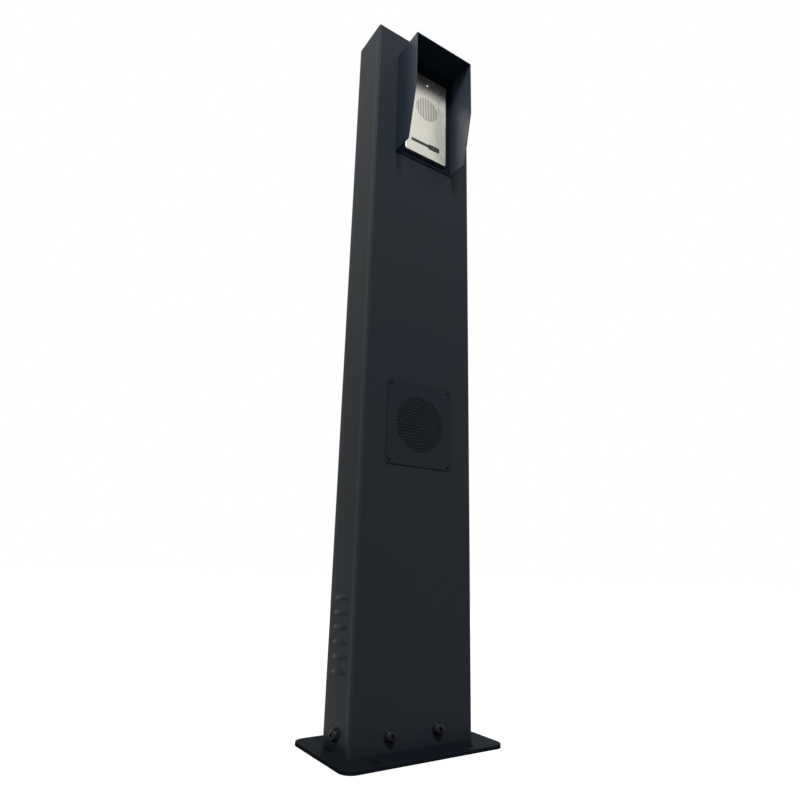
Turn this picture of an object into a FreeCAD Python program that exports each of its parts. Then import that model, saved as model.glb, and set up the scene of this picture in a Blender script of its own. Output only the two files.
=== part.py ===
import FreeCAD, Part

import math
import os

# Drive-up call post: a folded steel pillar on a bolted base plate, with a hooded call panel near the
# top and a loudspeaker behind a perforated plate below it.
# Millimetres. +Z is up, the front faces -Y, and the origin is the centre of the base plate's underside.

# Pillar
post_height = 1500
pillar_width = 255
pillar_depth = 94
pillar_sheet = 2
pillar_fold_radius = 3
top_edge_radius = 1.2
bottom_rail_height = 90
top_rail_height = 60
return_width = 22
opening_corner_radius = 10

# Rear cover
cover_sheet = 2
cover_overlap = 14
cover_corner_radius = 6
cover_screw_size = 5
cover_screw_length = 10
cover_screw_rows = 4

# Base plate
plate_width = 322
plate_depth = 200
plate_thickness = 6
plate_corner_radius = 22
plate_edge_chamfer = 0.8
anchor_spacing_x = 190
anchor_spacing_y = 156
anchor_hole_diameter = 14
conduit_hole_diameter = 60

# Foot frame and the bolts that hold the pillar to it
frame_height = 60
frame_sheet = 3
frame_gap = 0.5
frame_fold_radius = 4
foot_bolt_size = 12
foot_bolt_length = 20
foot_bolt_height = 31
foot_bolt_spacing = 100
foot_bolt_clearance = 0.5
foot_washer_diameter = 24
foot_washer_thickness = 2.5
foot_nut_width = 18
foot_nut_height = 10.8

# Earth stud on the base plate
earth_stud_size = 8
earth_stud_length = 30
earth_stud_x = -85
earth_stud_y = -15
earth_nut_width = 13
earth_nut_height = 6.5
earth_washer_diameter = 18
earth_washer_thickness = 1.6

# Louvres, low on both sides
louvre_count = 6
louvre_pitch = 24
louvre_first_height = 124
louvre_width = 50
louvre_bulge = 5
louvre_rise = 10
louvre_sweep_deg = 70

# Rain hood over the call panel
hood_width = 153
hood_drop = 61
hood_height = 263
hood_top_depth = 76.5
hood_foot_depth = 51
hood_knee = 125
hood_sheet = 2
hood_edge_radius = 2

# Call panel, a folded tray over the back box
panel_width = 112
panel_rise = -6.5
panel_face_depth = 9.5
panel_sheet = 1.5
panel_corner_radius = 3
panel_edge_radius = 2
panel_rim_gap = 0.3

# Sound slots, light, microphone holes, name window and call button in the call panel
slot_field_radius = 30
slot_field_rise = 17.5
slot_width = 1.5
slot_pitch = 4.6
light_rise = -24
light_radius = 2.5
light_tip_radius = 1.75
light_flange_radius = 4
light_flange_thickness = 1
light_proud = 0.4
mic_x = 28
mic_rise = -33
mic_hole_radius = 0.8
mic_hole_pitch = 7
mic_hole_count = 5
mic_boot_radius = 7
mic_capsule_radius = 4.85
mic_capsule_length = 4
name_x = -18
name_width = 45
name_height = 7.5
name_flange = 1.5
name_flange_thickness = 1
card_thickness = 0.5
button_x = 20.8
button_rise = 30
button_width = 29.5
button_height = 10.5
button_proud = 2
button_corner_radius = 1.5
button_edge_radius = 0.5
button_gap = 0.3
button_flange = 1.2
button_flange_thickness = 1
button_rest_gap = 0.2
button_travel = 1.5
button_stem_radius = 2
button_end_gap = 0.1
holder_wall = 2
holder_floor = 1
spring_thickness = 0.3
spring_strip = 7
spring_end_gap = 0.5
spring_rest_gap = 0.1
switch_size = 6
switch_height = 3.5
switch_tip_radius = 1.7
switch_tip_height = 0.4

# Back box, its seal and screws
box_width = 92
box_height = 196
box_depth = 38
box_sheet = 1.5
box_corner_radius = 4
box_flange_inset = 2
box_flange_rim = 10
box_flange_sheet = 1.2
box_lip_depth = 3.6
box_lip_inset = 3
box_gap = 0.5
box_seal_thickness = 0.8
box_screw_size = 4
box_screw_length = 10
box_screw_spacing_x = 76
box_screw_inset = 6
panel_screw_size = 2.5
panel_screw_length = 6
panel_screw_spacing = 44
box_entry_radius = 9
box_entry_rise = 28
grommet_lip = 3
grommet_lip_thickness = 2
grommet_hole_radius = 3

# Circuit board of the call panel
board_side_gap = 3
board_end_gap = 5
board_thickness = 1.6
board_standoff = 8
board_screw_size = 3
board_screw_length = 6
board_screw_side_inset = 5
board_screw_top_inset = 11
board_screw_low_rise = 22
standoff_width = 5.5
terminal_strip_width = 36
terminal_strip_height = 10
terminal_strip_depth = 9
chip_size = 16
chip_height = 1.6

# Loudspeaker of the call panel
panel_driver_radius = 33
panel_driver_cushion = 1
panel_driver_cushion_width = 3
panel_driver_depth = 12
panel_driver_wall = 1
panel_cone_rise = 3
panel_magnet_radius = 15
panel_magnet_depth = 8
board_driver_gap = 1

# Loudspeaker plate with its perforated field
grille_width = 152
grille_height = 166
grille_centre = 571
grille_sheet = 1.5
grille_corner_radius = 4
grille_seal = 0.5
grille_seal_inset = 0.5
grille_screw_size = 4
grille_screw_length = 10
grille_screw_inset = 7
perforation_width = 4.4
perforation_pitch = 7

# Loudspeaker behind the plate
driver_edge = 6
driver_flange = 1.5
driver_flange_width = 11
driver_hole_gap = 2
driver_stud_inset = 5
driver_stud_size = 4
driver_stud_length = 9
driver_nut_width = 7
driver_nut_height = 3.2
basket_ledge = 4
basket_ledge_drop = 1
basket_wall = 1.4
basket_depth = 42
basket_taper = 20
basket_window_count = 4
basket_window_width = 34
basket_window_margin = 6
surround_lip = 4
surround_roll = 4
surround_thickness = 0.8
cone_thickness = 0.8
cone_depth = 23
coil_radius = 15
coil_thickness = 0.6
coil_length = 20
coil_gap = 0.6
dust_cap_rise = 6
magnet_edge = 2
magnet_depth = 20
magnet_back = 5
membrane_thickness = 0.5
membrane_edge_gap = 0.5

# Equipment plate inside the pillar
equipment_width = 170
equipment_height = 340
equipment_bottom = 105
equipment_sheet = 2
equipment_stand = 8
equipment_stud_inset = 10
equipment_stud_size = 5
equipment_stud_length = 10
equipment_stand_width = 9
equipment_nut_width = 8
equipment_nut_height = 4

# Mounting rail, power supply and terminals on it
rail_length = 150
rail_height = 35
rail_web_height = 25
rail_depth = 7.5
rail_sheet = 1
rail_rise = 75
rail_screw_size = 4
rail_screw_length = 6
rail_screw_spacing = 134
supply_width = 54
supply_height = 90
supply_nose_height = 45
supply_shoulder = 32
supply_depth = 54
supply_x = -36
terminal_count = 6
terminal_pitch = 8.2
terminal_width = 8
terminal_height = 46
terminal_depth = 38
terminal_start = 4
terminal_well = 4.4
terminal_well_inset = 8
terminal_well_depth = 6

# Amplifier on the equipment plate
amplifier_width = 116
amplifier_length = 130
amplifier_depth = 36
amplifier_wall = 2.5
amplifier_foot = 12
amplifier_drop = 20
fin_count = 11
fin_height = 8
fin_thickness = 2.4
end_plate_thickness = 2
amplifier_screw_size = 4
amplifier_screw_length = 6

# Proportions of screws and weld nuts, and running gaps
head_ratio = 1.75
head_height_ratio = 0.55
crown_ratio = 0.8
shoulder_ratio = 0.68
socket_ratio = 0.65
socket_depth_ratio = 0.32
hex_head_ratio = 1.7
hex_head_height_ratio = 0.65
weld_nut_ratio = 1.8
weld_nut_height_ratio = 0.9
thread_gap = 0.05
screw_hole_gap = 0.25
through = 1
tiny = 1e-6

# Places that follow from the sizes
V = FreeCAD.Vector
RIGHT = V(1, 0, 0)
LEFT = V(-1, 0, 0)
FRONT = V(0, -1, 0)
BACK = V(0, 1, 0)
UP = V(0, 0, 1)
DOWN = V(0, 0, -1)

side = pillar_width / 2
front = -pillar_depth / 2
back = pillar_depth / 2 - cover_sheet
inner_side = side - pillar_sheet
inner_front = front + pillar_sheet
inner_back = back - pillar_sheet
foot = plate_thickness

frame_side = inner_side - frame_gap
frame_front = inner_front + frame_gap
frame_back = inner_back - frame_gap

opening_side = side - return_width
opening_bottom = foot + bottom_rail_height
opening_top = post_height - top_rail_height
cover_side = opening_side + cover_overlap
cover_bottom = opening_bottom - cover_overlap
cover_top = opening_top + cover_overlap

hood_top = post_height - hood_drop
hood_bottom = hood_top - hood_height
hood_face = front - hood_sheet
panel_centre = (hood_bottom + hood_top) / 2 + panel_rise
panel_face = front - panel_face_depth
panel_back = panel_face + panel_sheet
box_flange_width = panel_width - 2 * box_flange_inset
box_flange_height = box_height + 2 * box_flange_rim
panel_height = box_flange_height + 2 * box_flange_inset
box_flange_back = hood_face - box_seal_thickness
box_flange_front = box_flange_back - box_flange_sheet
box_back = hood_face + box_depth
board_width = box_width - 2 * board_side_gap
board_height = box_height - 2 * board_end_gap
board_front = panel_back + board_standoff
board_back = board_front + board_thickness
box_entry_centre = panel_centre - box_height / 2 + box_entry_rise
slot_field_centre = panel_centre + slot_field_rise
button_centre = panel_centre - panel_height / 2 + button_rise
mic_centre = panel_centre + mic_rise
light_centre = panel_centre + panel_height / 2 + light_rise
flange_front = panel_back + button_rest_gap
flange_back = flange_front + button_flange_thickness
holder_back = board_front - holder_floor
switch_top = board_front - switch_height
switch_tip = switch_top - switch_tip_height
stem_end = switch_tip - button_end_gap - button_travel

grille_back = front - grille_seal
grille_face = grille_back - grille_sheet
driver_front = grille_back + membrane_thickness
driver_radius = grille_width / 2 - driver_edge
driver_stud_circle = driver_radius - driver_stud_inset
basket_rim_radius = driver_radius - driver_flange_width
basket_back_radius = basket_rim_radius - basket_taper
magnet_radius = basket_back_radius - magnet_edge
driver_hole_radius = driver_radius + driver_hole_gap
ledge = driver_front + basket_ledge_drop
basket_back = driver_front + basket_depth

equipment_front = inner_front + equipment_stand
equipment_face = equipment_front + equipment_sheet
equipment_middle = equipment_bottom + equipment_height / 2
rail_centre = equipment_bottom + rail_rise
rail_face = equipment_face + rail_depth
amplifier_top = equipment_bottom + equipment_height - amplifier_drop
amplifier_bottom = amplifier_top - amplifier_length


def box(x0, x1, y0, y1, z0, z1):
    """Plain block between two corners."""
    return Part.makeBox(x1 - x0, y1 - y0, z1 - z0, V(x0, y0, z0))


def rounded(shape, radius, chosen):
    """Fillet every edge that the test accepts."""
    edges = [edge for edge in shape.Edges if chosen(edge)]
    return shape.makeFillet(radius, edges)


def runs_along(axis):
    """Test for straight edges parallel to an axis."""
    return lambda edge: abs(abs(edge.tangentAt(edge.FirstParameter).dot(axis)) - 1) < tiny


def lies_at(level, axis):
    """Test for edges that lie wholly in one plane across an axis."""
    return lambda edge: all(abs(vertex.Point.dot(axis) - level) < tiny for vertex in edge.Vertexes)


def slab(x0, x1, y0, y1, z0, z1, radius, axis):
    """Block with the four edges along one axis rounded."""
    return rounded(box(x0, x1, y0, y1, z0, z1), radius, runs_along(axis))


def rod(radius, start, end):
    """Cylinder between two points."""
    return Part.makeCylinder(radius, (end - start).Length, start, end - start)


def prism(points, travel):
    """Extrusion of a closed polygon."""
    return Part.Face(Part.makePolygon(points + points[:1])).extrude(travel)


def turned(profile, x, z):
    """Solid turned from (radius, y) points about the level axis through x, z."""
    points = [V(x + radius, y, z) for radius, y in profile]
    face = Part.Face(Part.makePolygon(points + points[:1]))
    return face.revolve(V(x, 0, z), BACK, 360)


def washer(outer, inner, start, end):
    """Ring between two points on its axis."""
    bore = rod(inner, start, end)
    return rod(outer, start, end).cut(bore)


def placed(shape, at, outward):
    """Part made along +Z, moved so that +Z points outward at a place."""
    moved = shape.copy()
    moved.Placement = FreeCAD.Placement(at, FreeCAD.Rotation(UP, outward))
    return moved


def rectangle_points(spacing_x, spacing_z, y, middle_x, middle_z):
    """Four corners of a hole pattern on an upright face."""
    return [V(middle_x + i * spacing_x / 2, y, middle_z + k * spacing_z / 2)
            for i in (-1, 1) for k in (-1, 1)]


def hexagon(width, height):
    """Hexagonal prism from the seat plane downwards."""
    radius = width / math.sqrt(3)
    points = [V(radius * math.cos(math.radians(60 * i)), radius * math.sin(math.radians(60 * i)), 0)
              for i in range(6)]
    return prism(points, V(0, 0, -height))


def button_head(size):
    """Button head with a hexagon socket: seat at the origin, crown towards +Z."""
    rim = head_ratio * size / 2
    height = head_height_ratio * size
    crown = crown_ratio * size / 2
    points = [V(0, 0, 0), V(rim, 0, 0), V(crown, 0, height), V(0, 0, height)]
    shoulder = V((2 * rim + crown) / 3, 0, shoulder_ratio * height)
    outline = Part.Wire([Part.LineSegment(points[0], points[1]).toShape(),
                         Part.Arc(points[1], shoulder, points[2]).toShape(),
                         Part.LineSegment(points[2], points[3]).toShape(),
                         Part.LineSegment(points[3], points[0]).toShape()])
    head = Part.Face(outline).revolve(points[0], UP, 360)
    socket = hexagon(socket_ratio * size, socket_depth_ratio * size)
    socket.translate(points[3])
    return head.cut(socket)


def button_screw(size, length):
    """Button-head screw: seat at the origin, head towards +Z."""
    shank = rod(size / 2, V(0, 0, -length), V(0, 0, 0))
    return button_head(size).fuse(shank).removeSplitter()


def hex_screw(size, length):
    """Hexagon-head screw: seat at the origin, head towards +Z."""
    height = hex_head_height_ratio * size
    head = hexagon(hex_head_ratio * size, height)
    head.translate(V(0, 0, height))
    return head.fuse(rod(size / 2, V(0, 0, -length), V(0, 0, 0)))


def nut(size, width, height):
    """Hexagon nut: seat at the origin, body towards -Z."""
    bore = rod(size / 2 + thread_gap, V(0, 0, -height - through), V(0, 0, through))
    return hexagon(width, height).cut(bore)


def hexagon_post(width, start, travel):
    """Hexagonal post that stands on a wall."""
    return placed(hexagon(width, travel.Length), start + travel, travel)


def drill(shape, radius, points, axis, depth):
    """Holes of one radius through a wall, centred on points."""
    tools = [rod(radius, point - axis * depth, point + axis * depth) for point in points]
    return shape.cut(tools)


def slot_hole(x, z, length, width, y0, y1):
    """Upright slot with round ends, as the block of metal that it takes out."""
    radius = width / 2
    reach = length / 2 - radius
    ends = [rod(radius, V(x, y0, z + k * reach), V(x, y1, z + k * reach)) for k in (-1, 1)]
    return box(x - radius, x + radius, y0, y1, z - reach, z + reach).fuse(ends).removeSplitter()


def foot_bolt_places():
    """Point on the pillar's face and outward direction of each foot bolt."""
    half = foot_bolt_spacing / 2
    z = foot_bolt_height
    places = [(V(x, front, z), FRONT) for x in (-half, half)]
    places += [(V(x, back, z), BACK) for x in (-half, half)]
    places += [(V(-side, 0, z), LEFT), (V(side, 0, z), RIGHT)]
    return places


def cover_screw_points():
    """Screw centres of the rear cover, in one column up each side."""
    x = (opening_side + cover_side) / 2
    low = (opening_bottom + cover_bottom) / 2
    high = (opening_top + cover_top) / 2
    step = (high - low) / (cover_screw_rows - 1)
    return [V(i * x, back, low + row * step) for i in (-1, 1) for row in range(cover_screw_rows)]


def grille_screw_points(y):
    spacing_x = grille_width - 2 * grille_screw_inset
    spacing_z = grille_height - 2 * grille_screw_inset
    return rectangle_points(spacing_x, spacing_z, y, 0, grille_centre)


def box_screw_points(y):
    spacing_z = box_flange_height - 2 * box_screw_inset
    return rectangle_points(box_screw_spacing_x, spacing_z, y, 0, panel_centre)


def driver_stud_points(y):
    spacing = driver_stud_circle * math.sqrt(2)
    return rectangle_points(spacing, spacing, y, 0, grille_centre)


def board_screw_points(y):
    x = board_width / 2 - board_screw_side_inset
    low = button_centre + board_screw_low_rise
    high = panel_centre + board_height / 2 - board_screw_top_inset
    return [V(i * x, y, z) for i in (-1, 1) for z in (low, high)]


def equipment_stud_points(y):
    spacing_x = equipment_width - 2 * equipment_stud_inset
    spacing_z = equipment_height - 2 * equipment_stud_inset
    return rectangle_points(spacing_x, spacing_z, y, 0, equipment_middle)


def louvre_scoop(hand, z, radius):
    """Quarter-round scoop swept along the louvre's plan curve, on the left (-1) or right (+1) face."""
    plan_radius = (louvre_width ** 2 / 4 + louvre_bulge ** 2) / (2 * louvre_bulge)
    axis = V(hand * (side + louvre_bulge - plan_radius), 0, z)
    centre = V(hand * (side + louvre_bulge - louvre_rise), 0, z)
    tip = centre + V(hand * radius, 0, 0)
    bend = centre + V(hand * radius, 0, radius) * math.sqrt(0.5)
    top = centre + V(0, 0, radius)
    outline = Part.Wire([Part.LineSegment(centre, tip).toShape(),
                         Part.Arc(tip, bend, top).toShape(),
                         Part.LineSegment(top, centre).toShape()])
    scoop = Part.Face(outline).revolve(axis, UP, louvre_sweep_deg)
    scoop.rotate(axis, UP, -louvre_sweep_deg / 2)
    return scoop


def press_louvres(shell):
    """Raise the scoops out of both side walls and open the slits under them."""
    scoops = []
    slits = []
    for hand in (-1, 1):
        near = hand * (side - pillar_sheet / 2)
        far = hand * (side + 2 * louvre_bulge)
        for row in range(louvre_count):
            z = louvre_first_height + row * louvre_pitch
            outside = box(min(near, far), max(near, far), -louvre_width, louvre_width,
                          z, z + 2 * louvre_rise)
            scoops.append(louvre_scoop(hand, z, louvre_rise).common(outside))
            slits.append(louvre_scoop(hand, z, louvre_rise - pillar_sheet))
    return shell.fuse(scoops).cut(slits).removeSplitter()


def make_pillar_shell():
    """Folded pillar with a closed top, rear rails and returns, cut-outs and pressed louvres."""
    outer = slab(-side, side, front, back, foot, post_height, pillar_fold_radius, UP)
    outer = rounded(outer, top_edge_radius, lies_at(post_height, UP))
    hollow = slab(-inner_side, inner_side, inner_front, inner_back, foot - through,
                  post_height - pillar_sheet, pillar_fold_radius - pillar_sheet, UP)
    shell = outer.cut(hollow)
    rear_opening = slab(-opening_side, opening_side, inner_back - through, back + through,
                        opening_bottom, opening_top, opening_corner_radius, BACK)
    station_hole = slab(-box_width / 2 - box_gap, box_width / 2 + box_gap, front - through,
                        inner_front + through, panel_centre - box_height / 2 - box_gap,
                        panel_centre + box_height / 2 + box_gap, box_corner_radius + box_gap, BACK)
    driver_hole = rod(driver_hole_radius, V(0, front - through, grille_centre),
                      V(0, inner_front + through, grille_centre))
    shell = shell.cut([rear_opening, station_hole, driver_hole])
    depth = pillar_sheet + through
    for point, outward in foot_bolt_places():
        shell = drill(shell, foot_bolt_size / 2 + foot_bolt_clearance, [point], outward, depth)
    shell = drill(shell, cover_screw_size / 2 + screw_hole_gap, cover_screw_points(), BACK, depth)
    shell = drill(shell, grille_screw_size / 2 + screw_hole_gap, grille_screw_points(front), BACK,
                  depth)
    shell = drill(shell, box_screw_size / 2 + screw_hole_gap, box_screw_points(front), BACK, depth)
    return press_louvres(shell)


def make_rear_cover():
    """Flat service cover over the opening in the pillar's back."""
    cover = slab(-cover_side, cover_side, back, back + cover_sheet, cover_bottom, cover_top,
                 cover_corner_radius, BACK)
    hole = cover_screw_size / 2 + screw_hole_gap
    return drill(cover, hole, cover_screw_points(), BACK, cover_sheet + through)


def make_base_plate():
    """Thick plate with rounded corners, anchor holes and the conduit hole."""
    plate = slab(-plate_width / 2, plate_width / 2, -plate_depth / 2, plate_depth / 2, 0,
                 plate_thickness, plate_corner_radius, UP)
    rim = [edge for edge in plate.Edges if lies_at(plate_thickness, UP)(edge)]
    plate = plate.makeChamfer(plate_edge_chamfer, rim)
    anchors = [V(i * anchor_spacing_x / 2, k * anchor_spacing_y / 2, 0)
               for i in (-1, 1) for k in (-1, 1)]
    plate = drill(plate, anchor_hole_diameter / 2, anchors, UP, 2 * plate_thickness)
    return drill(plate, conduit_hole_diameter / 2, [V(0, 0, 0)], UP, 2 * plate_thickness)


def make_foot_frame():
    """Folded upstand that the pillar drops over."""
    outer = slab(-frame_side, frame_side, frame_front, frame_back, foot, foot + frame_height,
                 frame_fold_radius, UP)
    inner = slab(-frame_side + frame_sheet, frame_side - frame_sheet, frame_front + frame_sheet,
                 frame_back - frame_sheet, foot - through, foot + frame_height + through,
                 frame_fold_radius - frame_sheet, UP)
    frame = outer.cut(inner)
    reach = pillar_sheet + frame_gap + frame_sheet + through
    for point, outward in foot_bolt_places():
        frame = drill(frame, foot_bolt_size / 2 + foot_bolt_clearance, [point], outward, reach)
    return frame


def make_foot_fasteners():
    """Bolts and washers on the pillar's face, and nuts welded inside the frame."""
    seat = foot_washer_thickness
    inner = pillar_sheet + frame_gap + frame_sheet
    bolt = button_screw(foot_bolt_size, foot_bolt_length)
    ring = washer(foot_washer_diameter / 2, foot_bolt_size / 2 + foot_bolt_clearance,
                  V(0, 0, 0), V(0, 0, foot_washer_thickness))
    hex_nut = nut(foot_bolt_size, foot_nut_width, foot_nut_height)
    bolts = []
    washers = []
    nuts = []
    for point, outward in foot_bolt_places():
        bolts.append(placed(bolt, point + outward * seat, outward))
        washers.append(placed(ring, point, outward))
        nuts.append(placed(hex_nut, point - outward * inner, outward))
    return bolts, washers, nuts


def make_earth_stud():
    """Welded stud on the base plate, with a washer and two nuts."""
    at = V(earth_stud_x, earth_stud_y, foot)
    stud = rod(earth_stud_size / 2, at, at + UP * earth_stud_length)
    top = at + UP * earth_washer_thickness
    ring = washer(earth_washer_diameter / 2, earth_stud_size / 2 + thread_gap, at, top)
    hex_nut = nut(earth_stud_size, earth_nut_width, earth_nut_height)
    nuts = [placed(hex_nut, top + UP * earth_nut_height * level, UP) for level in (1, 2)]
    return stud, [ring] + nuts


def make_rain_hood():
    """Folded hood, open in front and below, with slanted lower side edges."""
    half = hood_width / 2
    outline = [V(-half, front, hood_bottom), V(-half, front, hood_top),
               V(-half, front - hood_top_depth, hood_top),
               V(-half, front - hood_top_depth, hood_bottom + hood_knee),
               V(-half, front - hood_foot_depth, hood_bottom)]
    hood = prism(outline, RIGHT * hood_width)
    ridges = lambda edge: runs_along(BACK)(edge) and lies_at(hood_top, UP)(edge)
    hood = rounded(hood, hood_edge_radius, ridges)
    shelter = box(-half + hood_sheet, half - hood_sheet, front - hood_top_depth - through, hood_face,
                  hood_bottom - through, hood_top - hood_sheet)
    window = slab(-box_width / 2 - box_gap, box_width / 2 + box_gap, hood_face - through,
                  front + through, panel_centre - box_height / 2 - box_gap,
                  panel_centre + box_height / 2 + box_gap, box_corner_radius + box_gap, BACK)
    hood = hood.cut([shelter, window])
    return drill(hood, box_screw_size / 2 + screw_hole_gap, box_screw_points(front), BACK,
                 hood_sheet + through)


def make_back_box():
    """Flush box behind the call panel, with a flange and two lips that the panel hangs on."""
    z0 = panel_centre - box_height / 2
    z1 = panel_centre + box_height / 2
    body = slab(-box_width / 2, box_width / 2, box_flange_front, box_back, z0, z1,
                box_corner_radius, BACK)
    flange_low = panel_centre - box_flange_height / 2
    flange_high = panel_centre + box_flange_height / 2
    half = box_flange_width / 2
    flange = slab(-half, half, box_flange_front, box_flange_back, flange_low, flange_high,
                  panel_sheet, BACK)
    lip_front = box_flange_front - box_lip_depth
    reach = half - box_lip_inset
    low_lip = box(-reach, reach, lip_front, box_flange_back, flange_low,
                  flange_low + box_flange_sheet)
    high_lip = box(-reach, reach, lip_front, box_flange_back, flange_high - box_flange_sheet,
                   flange_high)
    hollow = slab(-box_width / 2 + box_sheet, box_width / 2 - box_sheet, box_flange_front - through,
                  box_back - box_sheet, z0 + box_sheet, z1 - box_sheet,
                  box_corner_radius - box_sheet, BACK)
    shape = body.fuse([flange, low_lip, high_lip]).cut(hollow).removeSplitter()
    shape = drill(shape, box_screw_size / 2 + screw_hole_gap, box_screw_points(box_flange_back),
                  BACK, 2 * box_flange_sheet)
    shape = drill(shape, panel_screw_size / 2 + thread_gap, panel_screw_points(flange_low), UP,
                  2 * box_flange_sheet)
    entry = V(0, box_back, box_entry_centre)
    return drill(shape, box_entry_radius, [entry], BACK, 2 * box_sheet)


def panel_screw_points(z):
    """Screws that come up through the underside of the call panel."""
    y = box_flange_front - box_lip_depth / 2
    return [V(i * panel_screw_spacing / 2, y, z) for i in (-1, 1)]


def make_back_box_seal():
    """Flat seal between the back box flange and the hood."""
    half = box_flange_width / 2
    outer = box(-half, half, box_flange_back, hood_face, panel_centre - box_flange_height / 2,
                panel_centre + box_flange_height / 2)
    window = slab(-box_width / 2 - box_gap, box_width / 2 + box_gap, box_flange_back - through,
                  hood_face + through, panel_centre - box_height / 2 - box_gap,
                  panel_centre + box_height / 2 + box_gap, box_corner_radius + box_gap, BACK)
    seal = outer.cut(window)
    return drill(seal, box_screw_size / 2 + screw_hole_gap, box_screw_points(hood_face), BACK,
                 2 * box_seal_thickness)


def make_box_grommet():
    """Rubber grommet in the back box's cable entry."""
    wide = box_entry_radius + grommet_lip
    inner = box_back - box_sheet
    profile = [(grommet_hole_radius, inner - grommet_lip_thickness),
               (wide, inner - grommet_lip_thickness), (wide, inner), (box_entry_radius, inner),
               (box_entry_radius, box_back), (wide, box_back),
               (wide, box_back + grommet_lip_thickness),
               (grommet_hole_radius, box_back + grommet_lip_thickness)]
    return turned(profile, 0, box_entry_centre)


def make_call_panel():
    """Folded metal tray with sound slots and openings for the light, name window and button."""
    half = panel_width / 2
    z0 = panel_centre - panel_height / 2
    z1 = panel_centre + panel_height / 2
    rim = hood_face - panel_rim_gap
    tray = slab(-half, half, panel_face, rim, z0, z1, panel_corner_radius, BACK)
    tray = rounded(tray, panel_edge_radius, lies_at(panel_face, BACK))
    hollow = slab(-half + panel_sheet, half - panel_sheet, panel_back, rim + through,
                  z0 + panel_sheet, z1 - panel_sheet, panel_corner_radius - panel_sheet, BACK)
    y0 = panel_face - through
    y1 = panel_back + through
    holes = []
    slots_each_side = int((slot_field_radius - slot_pitch / 2) // slot_pitch)
    for i in range(-slots_each_side, slots_each_side + 1):
        x = i * slot_pitch
        length = 2 * math.sqrt(slot_field_radius ** 2 - x ** 2)
        holes.append(slot_hole(x, slot_field_centre, length, slot_width, y0, y1))
    for i in range(mic_hole_count):
        z = mic_centre + (i - (mic_hole_count - 1) / 2) * mic_hole_pitch
        holes.append(rod(mic_hole_radius, V(mic_x, y0, z), V(mic_x, y1, z)))
    holes.append(rod(light_radius + thread_gap, V(0, y0, light_centre), V(0, y1, light_centre)))
    holes.append(panel_opening(name_x, name_width + 2 * button_gap, name_height + 2 * button_gap,
                               y0, y1, button_corner_radius))
    holes.append(panel_opening(button_x, button_width + 2 * button_gap,
                               button_height + 2 * button_gap, y0, y1,
                               button_corner_radius + button_gap))
    tray = tray.cut([hollow] + holes)
    return drill(tray, panel_screw_size / 2 + screw_hole_gap, panel_screw_points(z0), UP,
                 2 * panel_sheet)


def panel_opening(x, width, height, y0, y1, radius):
    """Block with rounded corners at the level of the call button."""
    return slab(x - width / 2, x + width / 2, y0, y1, button_centre - height / 2,
                button_centre + height / 2, radius, BACK)


def make_name_window():
    """Clear window with a flange above and below, behind the panel."""
    window = panel_opening(name_x, name_width, name_height, panel_face, panel_back + through,
                           button_corner_radius)
    flange = panel_opening(name_x, name_width, name_height + 2 * name_flange, panel_back,
                           panel_back + name_flange_thickness, button_corner_radius)
    behind = box(name_x - name_width, name_x + name_width, panel_back + name_flange_thickness,
                 panel_back + name_flange_thickness + 2 * through, button_centre - name_width,
                 button_centre + name_width)
    return window.fuse(flange).cut(behind).removeSplitter()


def make_name_card():
    """Blank card behind the window."""
    start = panel_back + name_flange_thickness
    return panel_opening(name_x, name_width, name_height + 2 * name_flange, start,
                         start + card_thickness, button_corner_radius)


def make_call_button():
    """Bar button with flanges above and below that keep it in, and a stem for the switch."""
    cap = panel_opening(button_x, button_width, button_height, panel_face - button_proud,
                        flange_back, button_corner_radius)
    cap = rounded(cap, button_edge_radius, lies_at(panel_face - button_proud, BACK))
    flange = panel_opening(button_x, button_width, button_height + 2 * button_flange,
                           flange_front, flange_back, button_corner_radius)
    stem = rod(button_stem_radius, V(button_x, flange_front, button_centre),
               V(button_x, stem_end, button_centre))
    return cap.fuse([flange, stem]).removeSplitter()


def make_key_holder():
    """Moulding behind the panel that guides the button and holds the name card."""
    key_half = button_width / 2 + button_gap
    card_half = name_width / 2 + button_gap
    x0 = name_x - card_half - holder_wall
    x1 = button_x + key_half + holder_wall
    half = button_height / 2 + button_flange + button_gap + holder_wall
    block = slab(x0, x1, panel_back, board_front, button_centre - half, button_centre + half,
                 holder_wall, BACK)
    key_pocket = panel_opening(button_x, 2 * key_half, 2 * (half - holder_wall),
                               panel_back - through, holder_back, button_corner_radius)
    card_pocket = panel_opening(name_x, 2 * card_half, name_height + 2 * (name_flange + button_gap),
                                panel_back - through,
                                panel_back + name_flange_thickness + card_thickness,
                                button_corner_radius)
    opening = switch_size / 2 + screw_hole_gap
    switch_hole = box(button_x - opening, button_x + opening, panel_back, board_front + through,
                      button_centre - opening, button_centre + opening)
    return block.cut([key_pocket, card_pocket, switch_hole])


def make_button_spring():
    """Bowed leaf spring that lifts the button's flange off the holder's floor."""
    crown = flange_back + spring_rest_gap
    rise = holder_back - crown
    half = button_width / 2 + button_gap - spring_end_gap
    outer = (half ** 2 + rise ** 2) / (2 * rise)
    centre_y = crown + outer
    disc = rod(outer, V(button_x, centre_y, button_centre - spring_strip / 2),
               V(button_x, centre_y, button_centre + spring_strip / 2))
    core = rod(outer - spring_thickness, V(button_x, centre_y, button_centre - spring_strip),
               V(button_x, centre_y, button_centre + spring_strip))
    reach = box(button_x - half, button_x + half, crown - through, holder_back,
                button_centre - spring_strip, button_centre + spring_strip)
    leaf = disc.cut(core).common(reach)
    eye = V(button_x, crown, button_centre)
    return drill(leaf, button_stem_radius + screw_hole_gap, [eye], BACK, rise / 2)


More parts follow.
